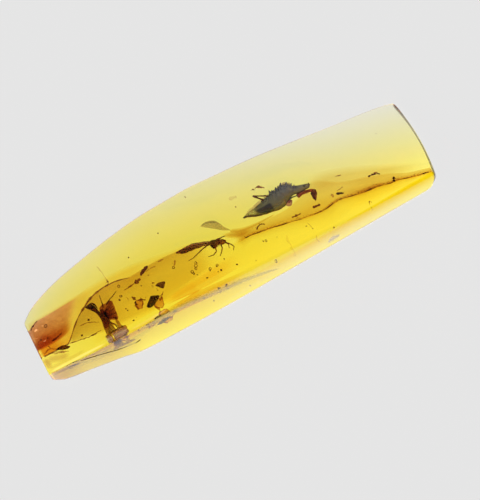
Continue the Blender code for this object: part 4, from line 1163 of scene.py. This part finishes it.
def build_seam_film():
    shape = Shape()
    x = np.linspace(SEAM_START_X, SEAM_END_X, 120)
    rows, strength = film_between(
        SEAM, BAND_TOP, 0.8, 2.0,
        [(-0.7, 0.0), (-0.3, 0.15), (-0.1, 0.4), (0.0, 0.9), (0.08, 1.0), (0.22, 0.95), (0.4, 0.7),
         (0.65, 0.5), (0.88, 0.4), (1.0, 0.0)], x)
    along = (1 + 0.5 * soft_step(8.0, 2.0, x) + 0.35 * soft_step(13.0, 18.0, x)) * soft_step(0.6, 2.2, x)
    shape.add_sheet(rows, strength * along[:, None])
    by_the_spider = [(0.9, 0.25), (1.3, 0.1), (2.4, -0.33), (3.9, -0.53), (5.4, -0.6), (6.6, -0.62)]
    shape.add_ribbon(under_the_top(by_the_spider, 2.0), [0.12, 0.28, 0.3, 0.2, 0.12, 0.06], strength=0.8)
    shape.settle()
    from_the_spider = [(-0.2, 0.1), (0.6, -0.35), (1.3, -0.72), (2.1, -0.95), (3.6, -1.05)]
    shape.add_ribbon(under_the_top(from_the_spider, 1.6), [0.2, 0.4, 0.46, 0.36, 0.15], strength=1.1,
                     fading=0.3)
    fringe = streaks_below_top(0.9, [
        ([(10.5, 0.2), (12.5, -0.25), (15.0, -1.0), (18.0, -2.2), (21.0, -3.4), (24.2, -4.5)],
         [0.9, 1.3, 1.3, 1.1, 0.8, 0.4], 0.42, 0.3)])
    shape.add(fringe.points, fringe.faces, fringe.strengths, fringe.shades)
    shape.to_piece("seam_film", make_film(
        "seam_tint", (0.58, 0.28, 0.05), 420.0, 0.25, (0.35, 1, 1)), "amber")


def build_glow_film():
    shape = Shape()
    x = np.linspace(-3.0, SEAM_END_X, 90)
    rows, strength = film_between(
        lambda x: THICK_EDGE(x) + 0.1, SEAM, 0.4, 1.2,
        [(0.0, 0.3), (0.12, 0.6), (0.35, 0.8), (0.7, 1.1), (1.0, 1.4), (1.05, 0.0)], x)
    near_end = 1 + 1.9 * soft_step(11.0, 16.0, x)[:, None] * soft_step(-6.3, -5.0, rows[..., 1])
    shape.add_sheet(rows, strength * near_end * soft_step(-3.0, 2.0, x)[:, None])
    shape.settle().to_piece("glow_film", make_film(
        "glow_tint", (0.98, 0.88, 0.42), 300.0, 0.3, (0.4, 1, 1)), "amber")


def build_seam_line():
    shape = Shape()
    x = np.linspace(SEAM_START_X, SEAM_END_X, 40)
    wide = np.interp(x, (0.7, 4.0, 9.0, 11.5, 14.0, 16.0, 18.0, 19.5, 21.0, 24.4),
                     (0.02, 0.08, 0.08, 0.18, 0.24, 0.34, 0.32, 0.2, 0.1, 0.07))
    shape.add_ribbon(under_the_top(np.stack([x, SEAM(x) + 0.3 * wide], 1), 0.75), wide, steps=4)
    shape.settle().to_piece("seam_line", make_film(
        "seam_line_tint", (0.5, 0.25, 0.12), 1300.0, 0.7, (0.5, 1, 1)), "amber")


def build_arch():
    shape = Shape()
    x = np.linspace(-21.3, -1.9, 110)
    rows, strength = film_between(
        lambda x: np.interp(x, (-21.4, -19.2, -17.0, -11.0, -1.9), (-1.7, -2.15, -2.6, -3.2, -2.2)),
        ARCH, 4.2, 2.6,
        [(0.0, 0.0), (0.1, 0.55), (0.5, 0.8), (0.8, 0.9), (0.97, 1.0), (1.0, 0.9), (1.03, 0.0)], x)
    deeper = 1 + 0.15 * soft_step(-8.0, -11.0, x) + 0.4 * soft_step(-13.0, -16.0, x)
    shape.add_sheet(rows, strength * (deeper * soft_step(-1.9, -5.0, x))[:, None])
    shape.settle().to_piece("arch_film", make_film(
        "arch_tint", (0.55, 0.32, 0.1), 350.0, 0.3, (0.5, 1, 1)), "amber")


def build_old_flow():
    shape = Shape()
    x = np.linspace(-19.4, 0.8, 110)
    rows, strength = film_between(
        level_line(-3.35), OLD_FLOW_TOP, 4.0, 2.5,
        [(0.0, 0.0), (0.03, 0.95), (0.2, 1.0), (0.5, 0.9), (0.9, 1.0), (1.0, 0.0)], x)
    strength = strength * soft_step(0.8, -4.0, x)[:, None] * soft_step(-19.4, -16.5, x)[:, None]
    strength = strength * (1 + 0.7 * soft_step(-8.0, -12.0, x)[:, None] * soft_step(1.0, 1.8, rows[..., 1]))
    shape.add_sheet(rows, strength)
    shape.settle().to_piece("old_flow_film", make_film(
        "old_flow_tint", (0.97, 0.76, 0.3), 300.0, 0.25, (0.4, 1, 1)), "amber")


def build_left_flow():
    """The orange flow between the red lump and the arch, and the deep orange patch in the middle."""
    shape = Shape()
    x = np.linspace(-24.85, -16.0, 60)
    rows, strength = film_between(lambda x: ARCH(x) + 0.03, level_line(2.75), 2.6, 2.0,
                                  [(0.0, 1.0), (0.5, 1.0), (0.85, 0.9), (1.0, 0.0)], x)
    deeper = 0.8 * soft_step(-19.5, -21.0, x) + 2.2 * soft_step(-21.3, -23.2, x)
    low_down = soft_step(1.6, -0.6, rows[..., 1])
    strength = strength * 1.35 * soft_step(-16.0, -18.5, x)[:, None] * (1 + deeper[:, None] * low_down)
    rows[..., 0] = end_shape(rows[..., 0], rows[..., 1])
    shape.add_sheet(rows, strength)
    x = np.linspace(-9.6, 1.2, 60)
    rows, strength = film_between(level_line(-3.9), lambda x: -2.05 + 0.06 * x, 3.4, 3.0,
                                  [(0.0, 0.0), (0.08, 1.5), (0.5, 1.5), (0.8, 1.1), (1.0, 0.0)], x)
    beyond = (0.85 + 0.25 * soft_step(-5.45, -5.65, x)) * soft_step(1.2, -3.5, x)
    shape.add_sheet(rows, strength * (soft_step(-9.6, -7.8, x) * beyond)[:, None])
    shape.settle().to_piece("orange_flow_film", make_film(
        "orange_flow_tint", (0.9, 0.62, 0.3), 350.0, 0.3, (0.5, 1, 1)), "amber")


def build_dust():
    """The dark dusty lines of the seam and the arch, and the debris along them."""
    shape = Shape()
    chance = Random(77)
    x = np.linspace(2.2, 24.3, 70)
    for first, last, wide in ((0, 30, 0.055), (28, 52, 0.05), (50, 69, 0.04)):
        line = [(place, float(SEAM(place)) + chance.gauss(0, 0.02)) for place in x[first:last:2]]
        widths = [wide * chance.choice((0.05, 0.4, 1.0, 1.5)) for _ in line]
        shape.add_limb(under_the_top(line, DUST_DEPTH), widths, sides=6, steps=3, shade=0.6)
    x = np.linspace(-21.4, -11.6, 30)
    widths = np.interp(x, (-21.4, -19.5, -17.5, -15.5, -14.0, -11.6), (0.06, 0.08, 0.13, 0.12, 0.08, 0.03))
    widths = [wide * chance.uniform(0.5, 1.35) for wide in widths]
    shape.add_limb(under_the_top(np.stack([x, ARCH(x)], 1), 2.6), widths, sides=8, steps=3, shade=0.35,
                   strength=0.85)
    x = np.linspace(-24.5, -21.4, 10)
    shape.add_limb(np.stack([x, ARCH(x), np.full_like(x, 2.0)], 1), [0.08] * 10, sides=6, steps=3, shade=0.5,
                   strength=0.85)
    for _ in range(DUST_GRAINS):
        place = chance.uniform(2.0, 24.3)
        above = abs(chance.gauss(0, 0.16)) - 0.05
        shape.add_ball(under_the_top([(place, float(SEAM(place)) + above)], DUST_DEPTH)[0],
                       (chance.uniform(0.02, 0.07),) * 3, sides=6, lumps=0.5, seed=place,
                       strength=chance.uniform(0.3, 0.9), shade=0.3)
    shape.settle().to_piece("seam_dust", make_film(
        "dust_tint", (0.25, 0.1, 0.1), 1500.0, 0.5, deep=(0.08, 0.025, 0.02)), "bark_brown")


DEBRIS = [
    # Dashes, smudges and threads: their paths as seen from above, half width, height, strength, shade
    ([(-10.4, 0.98), (-9.8, 1.3), (-9.15, 1.55)], 0.18, 2.4, 0.95, 0.3),
    ([(-11.35, 0.5), (-10.9, 0.62), (-10.6, 0.68)], 0.26, 2.2, 0.7, 0.1),
    ([(-12.8, 0.42), (-12.1, 0.5), (-11.2, 0.6)], 0.09, 2.2, 0.55, 0.1),
    ([(7.9, -1.92), (8.4, -1.98), (8.95, -2.06)], 0.14, 1.4, 0.75, 0.2),
    ([(10.55, -2.12), (10.95, -2.2), (11.45, -2.28)], 0.15, 1.4, 0.85, 0.2),
    ([(13.65, -2.1), (14.05, -2.28), (14.42, -2.46)], 0.21, 1.6, 1.0, 0.9),
    ([(13.15, -1.85), (13.22, -2.3)], 0.17, 1.5, 0.3, 0.0),
    ([(13.9, -1.86), (14.3, -1.84), (14.7, -1.8)], 0.06, 1.5, 0.45, 0.0),
    ([(17.8, -2.25), (18.3, -2.27), (18.7, -2.4), (19.1, -2.62)], 0.13, 1.5, 0.95, 0.5),
    ([(18.55, -2.2), (18.95, -2.35)], 0.07, 1.5, 0.6, 0.2),
    ([(20.06, -4.26), (20.14, -3.98), (20.28, -3.7)], 0.16, 3.4, 1.1, 0.6),
    ([(16.28, -5.1), (16.36, -4.95), (16.46, -4.8)], 0.04, 4.35, 0.5, 0.3),
    ([(16.36, -4.85), (16.5, -4.72)], 0.1, 4.4, 0.7, 0.3),
    ([(-14.2, 4.38), (-14.05, 3.4), (-13.97, 2.09)], 0.06, 2.0, 0.14, 0.0),
    ([(-14.05, 1.95), (-13.97, 2.25), (-13.93, 2.5)], 0.09, 2.8, 0.5, 0.1),
    ([(-19.2, -0.55), (-18.5, -0.6), (-17.9, -0.85), (-17.1, -1.25)], 0.05, 2.4, 0.5, 0.1),
    ([(-18.1, -0.38), (-17.9, -0.42)], 0.12, 2.4, 0.45, 0.1),
    ([(-21.3, -1.69), (-19.9, -1.95), (-19.0, -2.15), (-17.4, -2.17)], 0.055, 2.0, 0.6, 0.2),
    ([(-18.7, -2.17), (-18.2, -2.2), (-17.7, -2.18)], 0.08, 2.0, 0.5, 0.2),
    ([(-13.1, -0.9), (-12.95, -0.6), (-13.0, -0.3)], 0.03, 2.2, 0.45, 0.1),
    ([(5.55, 3.2), (5.75, 2.95)], 0.1, 1.6, 0.75, 0.1),
    ([(6.1, 3.1), (6.5, 2.92), (6.85, 2.6)], 0.13, 1.6, 0.65, 0.1),
    ([(5.9, 3.08), (6.3, 3.12), (6.6, 3.02)], 0.07, 1.6, 0.55, 0.0),
    ([(-6.5, 0.05), (-6.2, 0.35), (-6.1, 0.55)], 0.08, 2.0, 0.35, 0.0),
    ([(14.55, -0.36), (14.85, -0.43), (15.2, -0.5)], 0.06, 1.6, 0.6, 0.1),
    ([(-9.7, 1.05), (-8.9, 1.12), (-8.4, 1.0)], 0.06, 2.4, 0.3, 0.0),
    ([(-7.9, 1.35), (-7.2, 1.32)], 0.07, 2.4, 0.35, 0.1),
    ([(-12.45, -0.62), (-12.3, -0.9), (-12.35, -1.1)], 0.2, 2.2, 0.6, 0.2),
    ([(-12.45, -1.3), (-12.4, -1.6), (-12.35, -1.8)], 0.18, 2.2, 0.9, 0.6),
    ([(-12.1, -1.35), (-11.6, -1.45), (-11.25, -1.75)], 0.09, 2.2, 0.75, 0.4),
    ([(-9.55, -2.15), (-9.3, -2.1), (-9.05, -1.9)], 0.1, 2.2, 0.7, 0.2),
    ([(-9.7, -0.5), (-9.5, -0.42)], 0.11, 2.2, 0.55, 0.1),
    ([(2.7, 3.45), (3.3, 3.4), (3.6, 3.25)], 0.2, 1.6, 0.08, 0.0),
    ([(-24.4, 1.8), (-23.9, 2.15), (-23.2, 2.38)], 0.09, 2.6, 0.6, 0.9),
    ([(-22.9, -0.45), (-22.2, -0.4), (-21.4, -0.2)], 0.1, 2.4, 0.65, 0.3),
    ([(-23.5, -0.7), (-23.45, -1.0), (-23.5, -1.2)], 0.05, 2.0, 0.45, 0.0),
    ([(-24.4, -1.35), (-23.6, -1.1), (-22.9, -1.5)], 0.06, 2.0, 0.45, 0.0),
    ([(-23.4, -1.85), (-22.4, -2.15), (-21.8, -2.4)], 0.1, 1.9, 0.35, 0.0),
    ([(-23.6, -1.65), (-22.9, -1.85), (-22.3, -2.1)], 0.07, 1.9, 0.3, 0.0),
    ([(6.35, -3.4), (6.15, -3.9), (6.2, -4.5)], 0.14, 3.0, 0.05, 0.0),
    ([(9.1, -3.3), (9.25, -3.75), (9.35, -4.3)], 0.07, 3.0, 0.12, 0.1),
]
SPECKS = [
    # Single specks as seen from above, with their half width and strength
    (-13.86, -0.2, 0.09, 0.8), (-13.57, -3.03, 0.1, 0.9), (-10.54, 3.46, 0.07, 0.7),
    (-3.22, -2.5, 0.07, 0.9), (-2.31, -2.49, 0.06, 0.7), (-3.91, -3.03, 0.08, 0.9),
    (-2.08, -3.09, 0.1, 0.9), (-2.45, -3.05, 0.05, 0.7), (-0.25, -3.4, 0.1, 0.9), (-1.16, -2.15, 0.07, 0.8),
    (3.71, -2.6, 0.07, 0.6), (2.96, 2.32, 0.07, 0.5), (-6.26, 4.15, 0.08, 0.6), (-4.55, -5.69, 0.07, 0.6),
    (-0.13, -6.26, 0.07, 0.4), (11.42, -5.29, 0.08, 0.6), (-19.58, -1.57, 0.11, 0.7),
    (-18.04, -0.43, 0.1, 0.6),
    (-13.72, -1.45, 0.08, 0.7), (-13.65, -1.75, 0.06, 0.7), (-13.1, -2.9, 0.04, 0.5),
    (-10.9, -0.1, 0.06, 0.5), (-9.55, 0.6, 0.06, 0.4), (-4.94, -1.95, 0.07, 0.8), (-4.7, -2.2, 0.06, 0.8),
    (1.9, -4.1, 0.06, 0.35), (8.8, -3.6, 0.07, 0.4), (9.3, -4.2, 0.06, 0.5), (5.3, -3.0, 0.05, 0.3),
    (15.9, -3.2, 0.07, 0.6), (18.9, -3.85, 0.06, 0.6), (-1.5, 6.2, 0.07, 0.3), (21.0, 1.5, 0.03, 0.2),
    (-16.95, 0.75, 0.05, 0.5), (-16.6, -4.35, 0.05, 0.6)]
BUBBLES = [
    # Small bubbles as seen from above, with their radius
    (-13.17, 1.17, 0.13), (-13.5, 0.05, 0.13), (-4.19, -0.93, 0.14), (-4.36, -1.2, 0.17), (-4.5, -1.5, 0.12),
    (-5.05, -1.6, 0.15), (-4.98, -1.86, 0.12), (-22.65, 1.4, 0.16), (-23.1, 0.05, 0.1), (-6.65, -0.09, 0.12),
    (-3.1, -2.33, 0.12), (-2.2, -2.36, 0.11), (4.0, -2.75, 0.12), (-23.9, 0.3, 0.08)]


def build_debris():
    shape = Shape()
    chance = Random(5)
    for path, wide, z, strength, shade in DEBRIS:
        points = smooth_path([(x, y, z) for x, y in path], 3)
        widths = [wide * chance.uniform(0.35, 1.2) for _ in points]
        widths[0] = widths[-1] = wide * 0.5
        shape.add_limb(points, widths, [wide * 0.5] * len(points), sides=8, steps=3, strength=strength,
                       shade=shade)
        if wide > 0.07:
            middle = points[len(points) // 2]
            add_grains(shape, chance.random(), 6, middle, (0.22, 0.07, 0.03), (0.02, 0.06),
                       strength * 0.8, shade)
    for x, y, wide, strength in SPECKS:
        depth = 0.4 if y < -4.0 else 1.2
        z = 2.2 if y > -2.6 else float(stone_surface(np.float64(x), np.float64(y), True)[2]) - depth
        shape.add_ball((x, y, z), (wide * 1.35, wide, wide * 0.7), chance.uniform(0, 180), 10, 0.6, x,
                       strength * 1.1, 0.6)
    for x, y, radius in BUBBLES:
        shape.add_hoop((x, y, 2.1), radius, 0.035, strength=0.9, shade=0.3)
    shape.settle().roughen(4.0, 0.05).roughen(11.0, 0.04, 3.0)
    shape.to_piece("debris", make_film(
        "debris_tint", (0.16, 0.05, 0.08), 2500.0, 0.2, deep=(0.03, 0.01, 0.01)), "bark_brown")


def build_painted_end_shade():
    """Painted shade along the wide end's cut: a dark brown-grey line from above, where the cut's rounded edge
    turns the light away.
    """
    y = np.array([3.5, 2.6, 1.5, 0.0, -2.0, -4.0, -5.3, -5.95])
    x = np.full_like(y, HALF_LENGTH - 0.13)
    x, y = np.append(x, (24.72, 24.25)), np.append(y, (-6.25, -6.6))
    path = np.stack([end_shape(x, y), y, stone_surface(x, y, True)[2] - 0.12], 1)
    shape = Shape()
    shape.add_ribbon(path, [0.2, 0.22, 0.17, 0.12, 0.11, 0.14, 0.19, 0.19, 0.15, 0.08], steps=5, fading=0.03)
    shape.to_piece("painted_end_shade", make_body("end_edge_painted_shade", (0.3, 0.24, 0.2), (0.09, 0.06, 0.04), contrast=0.6,
                                         blotches=900.0, cover=0.85), "amber")


# Streaks, painted glints, films and cracks close below the top

MAUVE_STREAKS = [
    # Path as seen from above, half widths, strength and the share that fades out at each end
    ([(-13.8, -4.3), (-12.3, -4.38), (-10.43, -4.34), (-7.34, -4.47), (-5.28, -4.74), (-3.11, -5.02),
      (-1.05, -5.25), (1.01, -5.6), (2.8, -5.97), (4.1, -6.33)],
     [0.15, 0.34, 0.42, 0.42, 0.42, 0.4, 0.34, 0.26, 0.16, 0.06], 1.0, 0.12),
    ([(-24.0, -4.1), (-21.0, -4.35), (-18.0, -4.7), (-15.5, -4.85), (-12.5, -4.8), (-9.0, -4.7)],
     [0.3, 0.4, 0.5, 0.45, 0.3, 0.12], 0.45, 0.12)]
LILAC_STREAKS = [
    ([(10.0, -6.45), (10.7, -6.3), (11.7, -6.36)], [0.1, 0.3, 0.12], 1.0, 0.12),
    ([(-17.35, -3.62), (-17.0, -3.6), (-16.62, -3.6)], [0.5, 0.62, 0.4], 0.7, 0.12),
    ([(-16.45, -3.66), (-15.7, -3.6), (-14.6, -3.62)], [0.5, 0.66, 0.5], 0.7, 0.12)]
# Painted shadow near the far left of the narrow end, in the tan film
TAN_AND_SHADE_STREAKS = [
    ([(-24.6, -1.7), (-24.5, -2.4), (-24.4, -3.2)], [0.3, 0.5, 0.3], 1.2, 0.3),
    ([(-24.7, -2.1), (-23.6, -2.3), (-22.6, -2.6), (-21.6, -2.7)], [0.5, 0.55, 0.5, 0.3], 1.1, 0.3),
    ([(-24.7, -3.1), (-22.5, -3.15), (-20.0, -3.25)], [0.3, 0.3, 0.2], 0.4, 0.12)]
# Painted highlights: the pale glint along the ridge between the top and the facet, made to glow
RIDGE_GLINTS = [
    ([(-24.7, -3.42), (-22.5, -3.5), (-20.0, -3.6), (-17.5, -3.72)], [0.2, 0.22, 0.18, 0.1], 1.0, 0.12),
    ([(-14.4, -3.8), (-12.6, -3.86), (-10.8, -3.84), (-9.6, -3.8)], [0.1, 0.2, 0.18, 0.08], 1.0, 0.12)]
# Painted highlights on the red lump: a bright spot and pale glints at the rims of its bubbles, made to glow
LUMP_GLINTS = [
    ([(-24.02, 1.42), (-23.82, 1.5), (-23.6, 1.46)], [0.07, 0.14, 0.07], 1.0, 0.12),
    ([(-23.0, 1.62), (-22.9, 1.52), (-22.78, 1.56)], [0.0225, 0.045, 0.0225], 0.7, 0.12),
    ([(-23.7, -0.02), (-23.5, -0.08), (-23.32, 0.0)], [0.025, 0.05, 0.025], 0.9, 0.12),
    ([(-24.3, 0.75), (-24.2, 0.62), (-24.05, 0.6)], [0.03, 0.06, 0.03], 0.5, 0.12)]
CRACKS = [
    # The hairline cracks of the facet: path as seen from above, half width and strength
    ([(-21.98, -3.75), (-20.27, -4.15), (-18.21, -4.66), (-16.38, -5.12), (-13.97, -5.41)], 0.075, 0.85),
    ([(-24.0, -3.8), (-22.0, -3.72), (-19.9, -4.0)], 0.025, 0.6),
    ([(-14.75, -5.4), (-14.32, -5.35), (-13.95, -5.28)], 0.09, 0.9),
    ([(-17.0, -4.95), (-15.2, -5.2), (-13.6, -5.25)], 0.03, 0.5)]


def build_cloudy_streaks():
    """The mauve streak along the facet, and the lilac haze over the grey flake and near the wide end."""
    streaks_below_top(0.1, MAUVE_STREAKS).to_piece("mauve_streak", make_body(
        "mauve_haze", (0.95, 0.71, 0.1), (0.66, 0.44, 0.06), contrast=0.6, blotches=1300.0,
        stretch=(0.3, 1, 1), roughness=0.6, gloss=0.0, cover=0.62), "flake_grey")
    streaks_below_top(0.1, LILAC_STREAKS).to_piece("lilac_haze", make_body(
        "lilac_haze", (0.8, 0.58, 0.55), (0.5, 0.34, 0.34), contrast=0.6, blotches=2300.0, roughness=0.6,
        gloss=0.0, cover=0.65), "flake_grey")


def facet_rows(x, low, high, shares):
    """Rows of points from one line to another, moved with the slant of the ends, and their places along."""
    y = low[:, None] + (high - low)[:, None] * shares
    along = np.repeat(x[:, None], len(shares), axis=1)
    return np.stack([end_shape(along, y), y, y], axis=2), along


def build_tan_and_shade_film():
    """The tan of the narrow end: partly its own tint and partly painted shade of its rounded lower corner and
    end, deepening towards the end; its streaks at the far left are painted shadow.
    """
    shape = Shape()
    x, shares = np.linspace(-24.7, -13.0, 40), np.linspace(0.0, 1.0, 8)
    rows, along = facet_rows(x, THICK_EDGE(x) + 0.05, FACET_LINE(x) + 0.15, shares)
    strength = soft_step(-13.0, -19.0, along) * soft_step(1.0, 0.85, shares)
    # Deeper towards the narrow end: painted shade of the rounded corner
    shape.add_sheet(rows, strength * (1 + soft_step(-20.5, -23.5, along)))
    shape.lie_under_the_top(TAN_AND_SHADE_DEPTH)
    streaks = streaks_below_top(TAN_AND_SHADE_DEPTH, TAN_AND_SHADE_STREAKS)
    shape.add(streaks.points, streaks.faces, streaks.strengths, streaks.shades)
    shape.to_piece("tan_and_painted_shade_film", make_film("tan_and_shade_tint", (0.62, 0.42, 0.5), stretch=(0.3, 1, 1)), "amber")


def build_painted_glints():
    # Painted highlights that glow: along the ridge, and on the red lump
    streaks_below_top(0.08, RIDGE_GLINTS).to_piece(
        "ridge_painted_highlight", make_painted_glint("ridge_glint", (1.0, 0.84, 0.6), 0.3), "amber")
    streaks_below_top(0.3, LUMP_GLINTS).to_piece(
        "lump_glints", make_painted_glint("lump_glint", (1.0, 0.5, 0.25), 0.9), "resin_red")


def build_facet_film():
    """The tint of the facet along the thick edge, which changes its depth towards the wide end."""
    shape = Shape()
    x, shares = np.linspace(-24.8, 24.9, 150), np.linspace(0.0, 1.0, 8)
    rows, along = facet_rows(x, THICK_EDGE(x) + 0.03, np.maximum(FACET_LINE(x) - 0.02, -5.28), shares)
    left = 1 + 0.9 * soft_step(-20.0, -15.0, along)
    right = 2.4 * soft_step(1.0, 0.9, shares) - 1.1 * soft_step(0.7, 0.2, shares)
    shape.add_sheet(rows, left + soft_step(0.0, 6.0, along) * (right - left))
    shape.lie_under_the_top(0.22).to_piece("facet_film", make_film(
        "facet_tint", (0.98, 0.87, 0.05), 260.0, 0.3, (0.4, 1, 1)), "amber")


def build_cracks():
    shape = Shape()
    for path, wide, strength in CRACKS:
        widths = [wide * 0.4] + [wide] * (len(path) - 2) + [wide * 0.3]
        shape.add_limb(under_the_top(path, 0.1), widths, sides=6, strength=strength, shade=0.3)
    shape.to_piece("hairline_cracks", make_body(
        "crack", (0.12, 0.07, 0.03), (0.04, 0.02, 0.01), gloss=0.0, cover=0.95), "bark_brown")


# The stage

GROUND = 0.773
GLOW_PALE_SIDE, GLOW_THICK_SIDE = 0.79, 1.13
GLOW_FROM_Y, GLOW_TO_Y, GLOW_POWER = 0.006, -0.0065, 3.0
FLOOR_RADIUS = 1.5
FLOOR_SIDES = 96
FLOOR_GAP = 0.00005
OVERHEAD = 0.6
LOW_ROOM, HIGH_ROOM = 0.5, 0.6
END_LIGHT, END_LIGHT_FROM, END_LIGHT_TO = 2.2, 0.35, 0.75
MIRRORED_LOW, MIRRORED_HIGH = 0.36, 0.05


def build_floor():
    """A plain pale table that glows softly, as a light table does. Its glow through the amber is a little
    stronger than beside it, and most so under the thick edge, as the photograph's exposure has it."""
    material, tree, shader = principled(
        "pale_table", Base_Color=(0.05, 0.05, 0.05, 1), Roughness=0.9, Specular_IOR_Level=0.0,
        Emission_Color=(1, 1, 1, 1))
    place, parts = tree.nodes.new("ShaderNodeNewGeometry"), tree.nodes.new("ShaderNodeSeparateXYZ")
    tree.links.new(place.outputs["Position"], parts.inputs[0])
    to_thick_side = add_range(tree, parts.outputs["Y"], GLOW_FROM_Y, GLOW_TO_Y)
    low_down = add_math(tree, "POWER", to_thick_side, GLOW_POWER)
    glow = add_range(tree, low_down, 0.0, 1.0, GLOW_PALE_SIDE, GLOW_THICK_SIDE)
    path = tree.nodes.new("ShaderNodeLightPath")
    tree.links.new(mix_numbers(tree, path.outputs["Is Camera Ray"], glow, GROUND),
                   shader.inputs["Emission Strength"])
    shape = bmesh.new()
    bmesh.ops.create_circle(shape, cap_ends=True, radius=FLOOR_RADIUS, segments=FLOOR_SIDES)
    mesh = bpy.data.meshes.new("table_top")
    shape.to_mesh(mesh)
    shape.free()
    mesh.materials.append(material)
    floor = bpy.data.objects.new("table_top", mesh)
    floor.location.z = -FLOOR_GAP
    bpy.context.scene.collection.objects.link(floor)


def build_light():
    """A soft pale room with two broad lights beyond the piece's ends. What the polish mirrors of it is dim
    overhead and paler low down, so that the top shows no glare."""
    world = bpy.data.worlds.new("soft_room")
    bpy.context.scene.world = world
    world.use_nodes = True
    tree = world.node_tree
    parts = tree.nodes.new("ShaderNodeSeparateXYZ")
    tree.links.new(tree.nodes.new("ShaderNodeTexCoord").outputs["Generated"], parts.inputs[0])
    up = parts.outputs["Z"]
    endways = add_math(tree, "ABSOLUTE", parts.outputs["X"], clamped=False)
    room = add_range(tree, up, 0.0, OVERHEAD, LOW_ROOM, HIGH_ROOM, smooth=True)
    ends = add_range(tree, endways, END_LIGHT_FROM, END_LIGHT_TO, 0.0, END_LIGHT, smooth=True)
    mirrored = add_range(tree, up, 0.0, OVERHEAD, MIRRORED_LOW, MIRRORED_HIGH, smooth=True)
    path = tree.nodes.new("ShaderNodeLightPath")
    level = mix_numbers(tree, path.outputs["Is Reflection Ray"],
                        add_math(tree, "ADD", room, ends, clamped=False), mirrored)
    tree.links.new(level, tree.nodes["Background"].inputs["Strength"])
    tree.nodes["Background"].inputs["Color"].default_value = (1, 1, 1, 1)


# The photograph's view: straight down, the piece turned so that its wide end is up on the right
LENS = 400.0
SENSOR = 36.0
VIEW_HEIGHT = 57.2
VIEW_MIDDLE = (0.91, -2.17, 2.0)
VIEW_TURN = -30.0
CLIP_START, CLIP_END = 0.01, 20.0


def build_camera():
    data = bpy.data.cameras.new("camera")
    data.lens = LENS
    data.sensor_width = SENSOR
    data.clip_start = CLIP_START
    data.clip_end = CLIP_END
    camera = bpy.data.objects.new("camera", data)
    x, y, z = VIEW_MIDDLE
    camera.location = Vector((x, y, z + VIEW_HEIGHT * LENS / SENSOR)) * MM
    camera.rotation_euler = (0.0, 0.0, radians(VIEW_TURN))
    bpy.context.scene.collection.objects.link(camera)
    bpy.context.scene.camera = camera


LIGHT_BOUNCES = 20
TRANSPARENT_BOUNCES = 24


def set_render():
    scene = bpy.context.scene
    scene.view_settings.view_transform = "Standard"
    scene.cycles.max_bounces = LIGHT_BOUNCES
    scene.cycles.transmission_bounces = LIGHT_BOUNCES
    scene.cycles.transparent_max_bounces = TRANSPARENT_BOUNCES
    scene.cycles.caustics_refractive = True
    scene.cycles.caustics_reflective = False
    scene.cycles.blur_glossy = 0.0


def main():
    for build in (
            build_camera, build_light, build_floor, set_render, build_clear_amber, build_beetle,
            build_spider, build_second_insect, build_bark, build_teardrop, build_grey_flake, build_kite,
            build_wedge, build_sliver, build_brown_flakes, build_twig, build_red_lump, build_seam,
            build_arch, build_old_flow, build_left_flow, build_dust, build_debris, build_painted_end_shade,
            build_cloudy_streaks, build_tan_and_shade_film, build_painted_glints, build_facet_film, build_cracks):
        build()


main()
